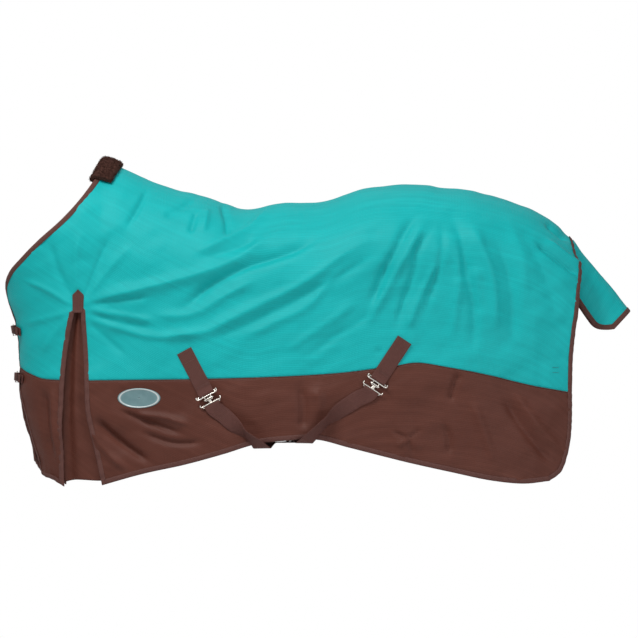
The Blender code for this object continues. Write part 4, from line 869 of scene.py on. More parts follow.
def coons(top, bottom, left, right, down, across):
    # blend of four border curves: top and bottom by the height share, left and right by the width share,
    # less the blend of the corners
    shareU, shareV = np.linspace(0, 1, across + 1), np.linspace(0, 1, down + 1)
    up, low = alongCurve(top, shareU)[None], alongCurve(bottom, shareU)[None]
    west, east = alongCurve(left, shareV)[:, None], alongCurve(right, shareV)[:, None]
    u, v = shareU[None, :, None], shareV[:, None, None]
    corners = ((1 - u) * (1 - v) * up[:, :1] + u * (1 - v) * up[:, -1:] + (1 - u) * v * low[:, :1] + u * v
               * low[:, -1:])
    return (1 - v) * up + v * low + (1 - u) * west + u * east - corners


def sideCloth(side):
    # unrolled positions of one whole side: front, gusset gap and rear blocks in three bands
    flap = flapShares[side]
    fronts = [clothCurve(neckShares), clothCurve(chestShares), clothCurve(flap)]
    lefts = [clothCurve(p) for p in gussetFrontShares]
    rights = [clothCurve(p) for p in gussetRearShares]
    rears = [clothCurve(p) for p in rearShares]
    for line in (fronts[0], lefts[0], rights[0], rears[0]):
        line[0, 1] = 0
    cuts = [0.175, 0.254, 0.280, 0.988]
    spine = []
    for a, b in zip(cuts, cuts[1:]):
        x = (np.linspace(a, b, 60) - rug["originShare"]) * rug["length"]
        line = unroll(x, topLine(x))
        line[:, 1] = 0
        spine.append(line)
    gaps = [np.linspace(lefts[k][-1], rights[k][-1], 9) for k in range(3)]
    lines = [spine, [clothCurve(tabLineShares[0]), gaps[0], clothCurve(tabLineShares[1])],
             [clothCurve(seamShares[0]), gaps[1], clothCurve(seamShares[1])],
             [clothCurve([flap[-1]] + frontHemShares), gaps[2], clothCurve(hemShares)]]
    borders = [fronts, lefts, rights, rears]
    bands = []
    for band in range(3):
        blocks = []
        for block in range(3):
            part = coons(lines[band][block], lines[band + 1][block], borders[block][band],
                         borders[block + 1][band], weave["rows"][band], weave["columns"][block])
            blocks.append(part if block == 0 else part[:, 1:])
        whole = np.concatenate(blocks, axis=1)
        bands.append(whole if band == 0 else whole[1:])
    return np.concatenate(bands, axis=0)


rowTab, rowSeam = weave["rows"][0], weave["rows"][0] + weave["rows"][1]
rowHem = sum(weave["rows"])
colLeft, colRight = weave["columns"][0], weave["columns"][0] + weave["columns"][1]
colRear = sum(weave["columns"])


def runLength(points, axis):
    step = np.linalg.norm(np.diff(points, axis=axis), axis=-1)
    total = np.cumsum(step, axis=axis)
    first = np.zeros_like(np.take(total, [0], axis=axis))
    return np.concatenate([first, total], axis=axis)


def puckers(points, seed):
    # small gathers beside sewn edges: a wandering wave along the edge that dies away from it
    along, down = runLength(points, 1), runLength(points, 0)
    total = down[-1:]
    wander = softNoise(along, down * 0.3, 0.05, seed) * 1.6
    wave = np.sin(2 * math.pi * along / 0.026 + wander * 2.2) * (0.6 + 0.4
                                                                 * softNoise(along, down, 0.11, seed + 1))
    height = 0.0011 * wave * np.exp(-((total - down) / 0.024))
    seamGap = down - down[rowSeam][None]
    height += 0.0009 * wave * np.exp(-np.abs(seamGap) / 0.016)
    seamDip = -0.0016 * np.exp(-((seamGap / 0.0035) ** 2))
    edges = [(0, 1), (colLeft, -1), (colRight, 1), (colRear, -1)]
    wave2 = np.sin(2 * math.pi * down / 0.030 + softNoise(along * 0.3, down, 0.06, seed + 1) * 3.0)
    for column, way in edges:
        gap = (along - along[:, column:column + 1]) * way
        lower = np.ones_like(gap)
        if column in (colLeft, colRight):
            lower[:rowTab] = 0
        share = 0.25 if column == 0 else 1.0
        height += 0.0009 * share * wave2 * np.exp(-np.abs(gap) / 0.018) * lower * (gap >= -1e-9)
    return height + seamDip


quilting = {"depth": 0.0009, "pitch": 0.15}


def makeSide(side):
    cloth = sideCloth(side)
    flat, normals = roll(cloth), rollNormals(cloth)
    height = clothHeight(flat[..., 0], flat[..., 2], side) + puckers(flat, 5 if side == "near" else 6)
    if side == "off":
        flat, normals = flat * [1, -1, 1], normals * [1, -1, 1]
    outer = flat + normals * height[..., None]
    outer[0, :, 1] = 0.0
    deep = height.copy()
    for axis in (0, 1):
        for step in (-2, -1, 1, 2):
            deep[2:-2, 2:-2] = np.minimum(deep[2:-2, 2:-2], np.roll(height, step, axis)[2:-2, 2:-2])
    inside = flat + normals * (deep - rug["liningTop"])[..., None]
    # quilting of the lining: shallow lines in both directions
    quilt = sum(quilting["depth"] * np.sin(cloth[..., k] * 2 * math.pi / quilting["pitch"]) ** 8
                for k in (0, 1))
    inside = inside + normals * (0.0003 - quilt * 0.2)[..., None]
    inside[0, :, 1] = 0.0
    rows, columns = cloth.shape[0] - 1, cloth.shape[1] - 1
    whole = np.ones((rows, columns), bool)
    whole[rowTab:, colLeft:colRight] = False
    upper, front, rear = whole.copy(), whole.copy(), whole.copy()
    upper[rowSeam:] = False
    front[:rowSeam], rear[:rowSeam] = False, False
    front[:, colLeft:], rear[:, :colRight] = False, False
    for name, mask, look, node in ((f"{side}Shell", upper, "teal", f"{side}_upper_shell"),
                                   (f"{side}FrontBand", front, "brown", f"{side}_front_band"),
                                   (f"{side}RearBand", rear, "brown", f"{side}_rear_band")):
        made = gridSheet(name, outer, normals, cloth, mask, looks[look], rug["shell"])
        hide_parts(node)
    coarse = (slice(None, None, 2), slice(None, None, 2))
    liningMask = whole[coarse][: (rows + 1) // 2, : (columns + 1) // 2]
    lining = gridSheet(f"{side}Lining", inside[coarse], normals[coarse], cloth[coarse], liningMask,
                       looks["lining"], rug["lining"])
    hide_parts(f"{side}_lining")
    return {"cloth": cloth, "outer": outer, "normals": normals}


cloths = {side: makeSide(side) for side in ("near", "off")}
print("cloth laid")

# ---------------------------------------------------------------- bindings, seams and gussets

binding = {"width": 0.0135, "thick": 0.0009, "gap": 0.0003, "stack": 0.0058}


def borderPath(which):
    # grid rows and columns along the bound edge, and where its corners are
    if which == "front":
        down = [(j, 0) for j in range(rowHem + 1)]
        along = [(rowHem, i) for i in range(1, colLeft)]
        up = [(j, colLeft) for j in range(rowHem, rowTab - 1, -1)]
    else:
        down = [(j, colRight) for j in range(rowTab, rowHem + 1)]
        along = [(rowHem, i) for i in range(colRight + 1, colRear)]
        up = [(j, colRear) for j in range(rowHem, -1, -1)]
    return np.array(down + along + up), [len(down) - 1, len(down) + len(along)]


def bindTape(name, edge, normal, hint, corners, stack, node, body="rug", seed=4):
    # tape folded over an edge: a U-shaped section with a rounded nose, carried along the edge,
    # its inner legs meeting in a mitre at each corner
    marks = [0] + corners + [len(edge) - 1]
    inward = np.empty_like(edge)
    for a, b in zip(marks, marks[1:]):
        tangent = unit(np.gradient(edge[a:b + 1], axis=0))
        way = np.cross(normal[a:b + 1], tangent)
        way *= np.sign((way * hint[a:b + 1]).sum())
        inward[a:b + 1] = unit(way)
    target = edge + inward * binding["width"]
    for c in corners:
        before, after = inward[c - 3], inward[c + 3]
        mitre = edge[c] + (before + after) * binding["width"] / (1 + before @ after)
        target[np.linalg.norm(edge - edge[c], axis=1) < binding["width"] * 1.05] = mitre
    steps = np.arange(len(edge), dtype=float)
    wave = (softNoise(steps, steps * 0, 4.0, seed) * 0.00035)[:, None]
    leg = target - edge
    thick, gap = binding["thick"], binding["gap"]
    high, low = gap + thick, -stack - gap
    # section as (share of the leg inwards, height above the outer face)
    section = [(1.0, gap), (0.55, gap), (0.1, gap), (-0.04, -stack * 0.5), (0.1, low), (0.55, low),
               (1.0, low),
               (1.02, low - thick * 0.5), (1.0, low - thick), (0.55, low - thick * 1.25),
               (0.12, low - thick * 1.1),
               (-0.10, low * 0.8), (-0.155, -stack * 0.5), (-0.10, gap - stack * 0.12),
               (0.12, high + thick * 0.2),
               (0.55, high + thick * 0.35), (1.0, high), (1.02, gap + thick * 0.5)]
    rings = np.stack([edge + leg * s + normal * (h + (wave if h > 0 else 0)) for s, h in section], axis=1)
    done = sweep(name, rings, looks["tape"], body)
    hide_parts(node)
    sewn = stitches(name + "Stitches", edge + leg * 0.80 + normal * (high + 0.0002), normal, looks["thread"],
                    body,
                    pitch=0.0050, length=0.0034, radius=0.00038)


def bindEdge(side, which):
    made = cloths[side]
    path, corners = borderPath(which)
    rows, columns = path[:, 0], path[:, 1]
    first, last = (0, colLeft) if which == "front" else (colRight, colRear)
    hint = made["outer"][np.clip(rows, 0, rowHem - 3),
                         np.clip(columns, first + 3, last - 3)] - made["outer"][rows, columns]
    bindTape(f"{side}{which.capitalize()}Binding", made["outer"][rows, columns],
             made["normals"][rows, columns], hint,
             corners, binding["stack"], f"{side}_{which}_binding", seed=4 if side == "near" else 5)


for side in ("near", "off"):
    for which in ("front", "side"):
        bindEdge(side, which)
print("edges bound")


def sewSeam(side):
    # one row of topstitching under the seam on each band, and a fine welt where the bands meet
    made = cloths[side]
    for label, columns in (("Front", slice(2, colLeft - 1)), ("Rear", slice(colRight + 2, colRear - 1))):
        outer, normal = made["outer"], made["normals"]
        line, up = outer[rowSeam, columns], normal[rowSeam, columns]
        welt = tube(f"{side}{label}SeamWelt", line + up * 0.0002, 0.0011, looks["web"], sides=8,
                    upHint=(0, 1, 0.2))
        below = outer[rowSeam + 1, columns] - line
        rowsDown = line + unit(below) * 0.0045 + up * 0.0005
        sewn = stitches(f"{side}{label}SeamStitches", rowsDown, up, looks["thread"], pitch=0.0048,
                        length=0.0032)


for side in ("near", "off"):
    sewSeam(side)


gusset = {"depth": 0.0105, "pleat": 0.016, "tuck": 4}


def makeGusset(side):
    # panel behind the slit: pleated inwards between the two edges, flat where it is sewn under them
    made = cloths[side]
    tuck = gusset["tuck"]
    columns = np.linspace(colLeft - tuck, colRight + tuck, 33)
    rows = np.arange(rowTab, rowHem - 1)
    cloth = made["cloth"][rows]
    low = np.floor(columns).astype(int)
    share = (columns - low)[None, :, None]
    grid = cloth[:, low] * (1 - share) + cloth[:, np.minimum(low + 1, colRear)] * share
    across = np.linspace(0, 1, len(columns))[None, :]
    fall = np.linspace(0, 1, len(rows))[:, None]
    opened = np.clip(fall / 0.25, 0, 1)
    pleat = np.exp(-(((across - 0.33) / 0.10) ** 2)) - 0.55 * np.exp(-(((across - 0.52) / 0.11) ** 2))
    ease = np.sin(math.pi * across) ** 0.6
    deep = gusset["depth"] + gusset["pleat"] * ease * (0.25 + 0.75 * opened) * (0.35 + 0.65 * pleat)
    deep += 0.0020 * softNoise(across * 0.15, fall * 0.5, 0.035, 3) * ease
    flat, normals = roll(grid), rollNormals(grid)
    if side == "off":
        flat, normals = flat * [1, -1, 1], normals * [1, -1, 1]
    points = flat - normals * deep[..., None]
    mask = np.ones((len(rows) - 1, len(columns) - 1), bool)
    panel = gridSheet(f"{side}GussetPanel", points, normals, grid, mask, looks["brown"], 0.0018)
    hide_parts(f"{side}_gusset_insert")


for side in ("near", "off"):
    makeGusset(side)


def surfacePatch(name, centre, runWay, outline, look, node, lift=0.0012, thick=0.0012, crown=0.0006,
                 body="rug",
                 side="near", count=(28, 15)):
    # sewn-on piece: rows across it between its two edges, laid on the cloth and crowned a little
    point, normal = sidePoint(*centre, side)
    run = np.asarray(runWay, float)
    run = unit(run - normal * (run @ normal))
    across = np.cross(normal, run)
    shares = np.linspace(0, 1, count[0])
    spread = np.linspace(-1, 1, count[1])
    along, half = np.array([outline(s) for s in shares]).T
    flatRun = along[:, None] + 0 * spread
    flatAcross = half[:, None] * spread[None]
    world = point + run * flatRun[..., None] + across * flatAcross[..., None]
    cloth = unroll(world[..., 0], world[..., 2])
    points, normals = clothPoints(cloth, side, lift)
    edgeFade = 1 - np.maximum(np.abs(spread)[None] ** 6, np.abs(2 * shares - 1)[:, None] ** 8)
    points = points + normals * (crown * edgeFade)[..., None]
    uv = np.stack([flatAcross, flatRun], axis=-1)
    mask = np.ones((count[0] - 1, count[1] - 1), bool)
    made = gridSheet(name, points, normals, uv, mask, look, thick, body)
    if node:
        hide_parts(node)
    return points, normals, made


def tabOutline(share):
    # pointed at the top, square below
    along = 0.072 * (share - 0.42)
    return along, 0.018 * min(1, 0.03 + share / 0.24) * (1 - 0.15 * max(0, share - 0.3))


for side in ("near", "off"):
    points, normals, made = surfacePatch(f"{side}GussetTab", (0.1295, 0.335), (0, 0, -1), tabOutline,
                                         looks["web"],
                                         f"{side}_gusset_tab", lift=0.0022, side=side)
    inset = points[2:-2, 2:-2]
    ring = np.concatenate([inset[:, 0], inset[-1, 1:], inset[::-1, -1][1:], inset[0, ::-1][1:]])
    ups = normals[2:-2, 2:-2]
    upRing = np.concatenate([ups[:, 0], ups[-1, 1:], ups[::-1, -1][1:], ups[0, ::-1][1:]])
    sewn = stitches(f"{side}GussetTabStitches", ring + upRing * 0.0002, upRing, looks["thread"], pitch=0.0040)

badge = {"length": 0.136, "height": 0.062, "centre": (0.2351, 0.687)}


def makeBadge():
    # oval moulded patch: polar rows from the middle out, with a raised ring near the rim
    point, normal = sidePoint(*badge["centre"])
    run = unit(np.array([1.0, 0, 0]) - normal * normal[0])
    across = np.cross(normal, run)
    radius = np.concatenate([np.linspace(0.02, 0.8, 12), [0.84, 0.87, 0.90, 0.93, 0.96, 0.985, 1.0]])[:, None]
    angle = np.linspace(0, 2 * math.pi, 97)[None]
    a, b = badge["length"] / 2, badge["height"] / 2
    world = (point + run * (radius * np.cos(angle) * a)[..., None] + across
             * (radius * np.sin(angle) * b)[..., None])
    cloth = unroll(world[..., 0], world[..., 2])
    points, normals = clothPoints(cloth, "near", 0.0010)
    ring = np.exp(-(((radius - 0.905) / 0.035) ** 2)) + 0 * angle
    rise = 0.0011 * ring
    rim = np.clip((1 - radius) / 0.03, 0, 1) ** 0.5
    points = points + normals * (rise + 0.0008 * rim)[..., None]
    rows, columns = points.shape[:2]
    mask = np.ones((rows - 1, columns - 1), bool)
    uv = np.stack([radius * np.cos(angle) * a, radius * np.sin(angle) * b], axis=-1)
    made = gridSheet("ovalBadge", points, normals, uv, mask, looks["badge"], 0.0012)
    weld = made.modifiers.new("merge", "WELD")
    weld.merge_threshold = 0.00005
    made.modifiers.move(1, 0)
    share = np.clip(ring, 0, 1)
    mesh = made.data
    attribute = mesh.attributes.new("ringShare", "FLOAT", "POINT")
    attribute.data.foreach_set("value", share.ravel().astype(np.float32))
    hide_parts("oval_badge")


makeBadge()
print("gussets, tabs and badge sewn on")

# ---------------------------------------------------------------- surcingles

web = {"width": 0.050, "thick": 0.0020, "plateLift": 0.0082, "hookPivot": 0.0165, "anchorLength": 0.150,
       "underHem": {"front": 0.446, "rear": 0.523}, "underLevel": {"front": -0.73847, "rear": -0.72076}}


def frameAt(origin, out, run):
    # 4x4 frame: +Z out, +X the run made square to it, +Y = Z x X
    out = unit(np.asarray(out, float))
    run = np.asarray(run, float)
    run = unit(run - out * (run @ out))
    matrix = np.eye(4)
    matrix[:3, 0], matrix[:3, 1], matrix[:3, 2], matrix[:3, 3] = run, np.cross(out, run), out, origin
    return matrix


def moved(matrix, *shift):
    made = matrix.copy()
    made[:3, 3] = matrix[:3, :3] @ np.array(shift) + matrix[:3, 3]
    return made


def spots(matrix, points):
    return np.asarray(points, float) @ matrix[:3, :3].T + matrix[:3, 3]


def turned(matrix, directions):
    return np.asarray(directions, float) @ matrix[:3, :3].T


def surcingleFrame(end, side="near"):
    top, _ = sidePoint(*strapLines[end]["top"], side)
    pivot, normal = sidePoint(*strapLines[end]["pivot"], side)
    return frameAt(pivot, normal, pivot - top)


def layOn(world, side, lift):
    # world points moved on to the folded cloth of one side
    cloth = unroll(world[:, 0], world[:, 2])
    return clothPoints(cloth, side, lift)


def outlineStitches(name, matrix, side, corners, lift, cross=False, pitch=0.0042):
    # topstitching round a shape on a strap, with a cross inside it where asked
    loop = np.array(corners + corners[:1], float)
    lines = [loop]
    if cross:
        lines += [np.array([corners[0], corners[2]], float), np.array([corners[1], corners[3]], float)]
    for k, line in enumerate(lines):
        flat = resample(np.concatenate([line, np.zeros((len(line), 1))], axis=1), 0.004)
        points, normals = layOn(spots(matrix, flat), side, lift)
        sewn = stitches(f"{name}{k}", points, normals, looks["thread"], pitch=pitch, length=0.0030,
                        radius=0.00045)


def anchorStrap(end):
    matrix = surcingleFrame(end)
    shares = np.linspace(-web["anchorLength"], -0.022, 12)
    laid, facing = layOn(spots(matrix, [(s, 0, 0) for s in shares]), "near", 0.0024)
    fold = [(-14, -3.4, 1.0), (-8, 1.6, 1.0), (-3, 3.4, 1.2), (1.6, 3.5, 1.5), (4.6, 1.6, 1.9),
            (4.8, -1.4, 2.3),
            (2.0, -3.4, 2.9), (-3, -3.6, 3.2), (-7.5, -3.0, 3.3)]
    loop = spots(matrix, [(a * 0.001, 0, u * 0.001 + web["plateLift"]) for a, u, _ in fold])
    lean = [(t - 1.0) * math.pi / 2.3 for _, _, t in fold]
    tilt = turned(matrix, [(math.sin(a), 0, math.cos(a)) for a in lean])
    made = strap(f"{end}AnchorStrap", np.concatenate([laid, loop]), np.concatenate([facing, tilt]),
                 web["width"], web["thick"], looks["web"])
    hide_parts(f"{end}_anchor_strap")
    edge, half = -web["anchorLength"] + 0.005, web["width"] / 2 - 0.005
    outlineStitches(f"{end}AnchorBox", matrix, "near",
                    [(edge, -half), (edge + 0.032, -half), (edge + 0.032, half),
                   (edge, half)], 0.0036)
    flat = spots(matrix, [(-0.0155, y, 0.0015 + web["plateLift"] - 0.0014)
                          for y in np.linspace(-half, half, 12)])
    for k in range(2):
        line = flat + matrix[:3, 0] * (-0.010 - 0.004 * k) - matrix[:3, 2] * (0.0022 + 0.001 * k)
        sewn = stitches(f"{end}AnchorHem{k}", line, np.repeat(matrix[None, :3, 2], len(line), 0),
                        looks["thread"])


def foldRoundBar(hook):
    bar, depth, radius = 0.0205, -0.0029, 0.0035
    points, normals = [(bar + 0.014, 0, depth - 0.0008)], [(0, 0, -1)]
    for angle in np.radians([-95, -125, -180, -225, -265]):
        squeeze = 1.0 if abs(math.cos(angle)) > 0.5 else 0.95
        points.append((bar - 0.0012 + radius * math.cos(angle) * 1.05, 0,
                       depth + radius * math.sin(angle) * squeeze))
        normals.append((math.cos(angle), 0, math.sin(angle)))
    points.append((bar + 0.010, 0, depth + 0.0030))
    normals.append((0.1, 0, 1))
    return spots(hook, points), turned(hook, normals)


def bellySide(end, side):
    # the strap's run on the outside of one side and its turn under the hem
    fine = resample(np.array([place(*p) for p in bellyShares[end]]), 0.02)
    laid, facing = layOn(np.stack([fine[:, 0], 0 * fine[:, 0], fine[:, 1]], axis=1), side, 0.0044)
    sign = -1 if side == "near" else 1
    # the strap turns edge-on towards the hem as it is drawn under the belly
    turnShare = (np.linspace(0, 1, len(laid)) ** 1.4)[:, None]
    laid = laid + facing * turnShare * 0.015
    facing = unit(facing * (1 - 0.55 * turnShare) + np.array([0, 0, -1.0]) * 0.95 * turnShare)
    x = (web["underHem"][end] - rug["originShare"]) * rug["length"]
    hem = cloths[side]["outer"][rowHem, colRight:]
    width = np.linspace(-0.025, 0.025, 9)
    level = np.interp(x + width, hem[:, 0], hem[:, 2]).min()
    breadth = np.abs(np.interp(x + width, hem[:, 0], hem[:, 1])).max()
    lean = -1 if end == "front" else 1
    outside, under = breadth + 0.0066, 0.0047
    bend = [((lean * 0.014, outside + 0.0090, 0.004), (0, 0.50, -0.95)),
            ((lean * 0.004, outside + 0.0030, -0.0055), (0, 0.42, -1)),
            ((lean * -0.004, breadth - 0.010, -under - 0.0062), (0, 0.30, -1)),
            ((lean * -0.008, breadth - 0.045, -under - 0.0060), (0, 0.10, -1))]
    turn = np.array([[x + s, sign * o, level + u] for (s, o, u), _ in bend])
    tilt = np.array([[0, sign * o, u] for _, (_, o, u) in bend])
    return np.concatenate([laid, turn]), np.concatenate([facing, tilt]), level


def bellyStrap(end):
    other = "rear" if end == "front" else "front"
    plate = moved(surcingleFrame(end), 0, 0, web["plateLift"])
    start, tilt = foldRoundBar(moved(plate, web["hookPivot"], 0, 0))
    near, nearFacing, _ = bellySide(end, "near")
    far, farFacing, _ = bellySide(other, "off")
    matrix = surcingleFrame(other, "off")
    tail, tailFacing = layOn(spots(matrix, [(s, 0, 0) for s in np.linspace(0.008, -web["anchorLength"], 12)]),
                             "off", 0.0026)
    level = web["underLevel"][end]
    middle = np.array([[*(near[-1] * (1 - s) + far[-1] * s)[:2], level]
                       for s in (0.10, 0.37, 0.6, 0.78, 0.90)])
    line = np.concatenate([start, near, middle, far[::-1], tail])
    facing = np.concatenate([tilt, nearFacing, np.repeat([[0, 0, -1.0]], 5, 0), farFacing[::-1], tailFacing])
    made = strap(f"{end}BellyStrap", line, facing, web["width"], web["thick"], looks["web"])
    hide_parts(f"{end}_belly_strap")


def offPatch(end):
    matrix = surcingleFrame(end, "off")
    near = -web["anchorLength"] - 0.004
    laid, facing = layOn(spots(matrix, [(s, 0, 0) for s in np.linspace(near, near + 0.050, 8)]), "off",
                         0.0048)
    made = strap(f"{end}OffPatch", laid, facing, web["width"] + 0.008, 0.0012, looks["web"])
    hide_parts(f"{end}_off_patch")
    half = web["width"] / 2
    outlineStitches(f"{end}OffBox", matrix, "off",
                    [(near + 0.005, -half), (near + 0.045, -half), (near + 0.045, half),
                   (near + 0.005, half)], 0.0056, cross=True)


def roundedLoop(corners, radius, count=5):
    # closed path through a polygon's corners, each corner replaced by an arc-like bend of this size
    corners = np.asarray(corners, float)
    path = []
    for k, corner in enumerate(corners):
        before = unit(corners[k - 1] - corner) * radius
        after = unit(corners[(k + 1) % len(corners)] - corner) * radius
        for t in np.linspace(0, 1, count):
            path.append(corner + before * (1 - t) ** 2 + after * t**2)
    return np.array(path)


def wire(name, matrix, points, radius, body, closed=False, count=40, smooth=True):
    line = spots(matrix, points)
    made = tube(name, smoothLine(line, count) if smooth else line, radius, looks["steel"], body,
                closed=closed,
                upHint=matrix[:3, 2])
    return made


def plateHardware(end):
    # webbing bar with its ends curled over, and the loop below it that the hook's head goes through
    plate, body = moved(surcingleFrame(end), 0, 0, web["plateLift"]), f"{end}_plate"
    half = web["width"] / 2 + 0.0035
    inner = roundedLoop([(0, -half, 0), (0.0066, -half, 0.0040), (0.0066, half, 0.0040), (0, half, 0)],
                        0.0018, 4)
    made = wire(f"{end}PlateBar", plate, inner, 0.0017, body, closed=True, smooth=False)
    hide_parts(f"{end}_slotted_plate")
    curl = [(-0.0030, -half - 0.0052, 0.0064), (0.0010, -half - 0.0062, 0.0060),
            (0.0052, -half - 0.0050, 0.0052),
            (0.0068, -half - 0.0010, 0.0046), (0.0066, -half * 0.5, 0.0044)]
    bar = curl + [(0.0066, 0, 0.0044)] + [(x, -y, z) for x, y, z in curl[::-1]]
    wire(f"{end}PlateCurl", plate, bar, 0.0019, body, count=80)
    loop = roundedLoop([(0.0066, -0.0095, 0.0038), (0.0202, -0.0120, 0.0004), (0.0202, 0.0120, 0.0004),
                        (0.0066, 0.0095, 0.0038)], 0.0030, 6)
    wire(f"{end}PlateLoop", plate, loop, 0.0015, body, closed=True, smooth=False)


def hookHardware(end):
    # lower webbing bar with curled ends, a tapered neck with a round rivet, and the T head through the loop
    hook, body = moved(surcingleFrame(end), web["hookPivot"], 0, web["plateLift"]), f"{end}_hook"
    half = web["width"] / 2 + 0.0035
    inner = roundedLoop([(0.0148, -half, 0.0004), (0.0205, -half, -0.0029), (0.0205, half, -0.0029),
                         (0.0148, half, 0.0004)], 0.0016, 4)
    made = wire(f"{end}HookBar", hook, inner, 0.0016, body, closed=True, smooth=False)
    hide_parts(f"{end}_t_hook")
    curl = [(0.0080, -half - 0.0050, 0.0024), (0.0112, -half - 0.0062, 0.0020),
            (0.0146, -half - 0.0048, 0.0014),
            (0.0152, -half - 0.0010, 0.0010), (0.0150, -half * 0.5, 0.0010)]
    bar = curl + [(0.0150, 0, 0.0010)] + [(x, -y, z) for x, y, z in curl[::-1]]
    wire(f"{end}HookCurl", hook, bar, 0.0018, body, count=80)
    head = [(0.0006, -0.0150, 0.0026), (-0.0004, -0.0125, 0.0036), (-0.0008, -0.006, 0.0044),
            (-0.0008, 0, 0.0046),
            (-0.0008, 0.006, 0.0044), (-0.0004, 0.0125, 0.0036), (0.0006, 0.0150, 0.0026)]
    wire(f"{end}HookHead", hook, head, 0.0019, body)
    # neck: a flat bar of changing width from the head, through the loop, to the lower bar
    stations = [(-0.0008, 0.0034, 0.0042), (0.0006, 0.0036, 0.0020), (0.0016, 0.0040, -0.0018),
                (0.0050, 0.0050, -0.0030),
                (0.0092, 0.0056, -0.0026), (0.0124, 0.0050, -0.0012), (0.0150, 0.0044, 0.0002)]
    line = smoothLine([(x, w, z) for x, w, z in stations], 24)
    angle = np.linspace(0, 2 * math.pi, 14, endpoint=False)
    slope = unit(np.gradient(line[:, [0, 2]], axis=0))
    cross, lift = np.cos(angle), np.sin(angle) * 0.0010
    rings = np.stack([line[:, :1] - slope[:, 1:] * lift, line[:, 1:2] * cross,
                      line[:, 2:] + slope[:, :1] * lift], axis=-1)
    neck = sweep(f"{end}HookNeck", spots(hook, rings), looks["steel"], body)
    rivet = [(0.0050, -0.0028), (0.0050, -0.0006), (0.0044, 0.0010), (0.0030, 0.0020), (0.0014, 0.0024)]
    turn = np.linspace(0, 2 * math.pi, 24, endpoint=False)
    rings = [spots(hook, [(0.0092 + r * math.cos(t), r * math.sin(t), z) for t in turn]) for r, z in rivet]
    knob = sweep(f"{end}HookRivet", np.array(rings), looks["steel"], body)


for end in ("front", "rear"):
    anchorStrap(end)
    bellyStrap(end)
    offPatch(end)
    plateHardware(end)
    hookHardware(end)
    slide = roundedCopy(f"{end}_slide", f"{end}SlideBody", 0.0008, looks["browned"], f"{end}_slide")
print("surcingles laid")

# ---------------------------------------------------------------- chest fastenings and leg strap rings

chest = {"width": 0.025, "lift": 0.0105, "seat": 0.0029, "billetGap": 0.0027, "play": 0.0026, "wire": 0.0018,
         "levels": {"upper": 0.440, "lower": 0.612}}


def chestFrame(level):
    # +X up the chest line, +Y across to the off side, +Z ahead
    z = -level * rug["depth"]
    slope = (chestLine(z + 0.01) - chestLine(z - 0.01)) / 0.02
    up = unit(np.array([slope, 0, 1.0]))
    return frameAt(np.array([chestLine(z), 0, z]), np.cross(up, [0, 1.0, 0]), up)


def wrapPoints(matrix, back, lift, side):
    origin = matrix[:3, 3]
    down = unroll(origin[0] + rug["chestPart"], origin[2])[1]
    cloth = np.stack([np.asarray(back, float), np.full(len(back), down)], axis=1)
    return clothPoints(cloth, side, lift)


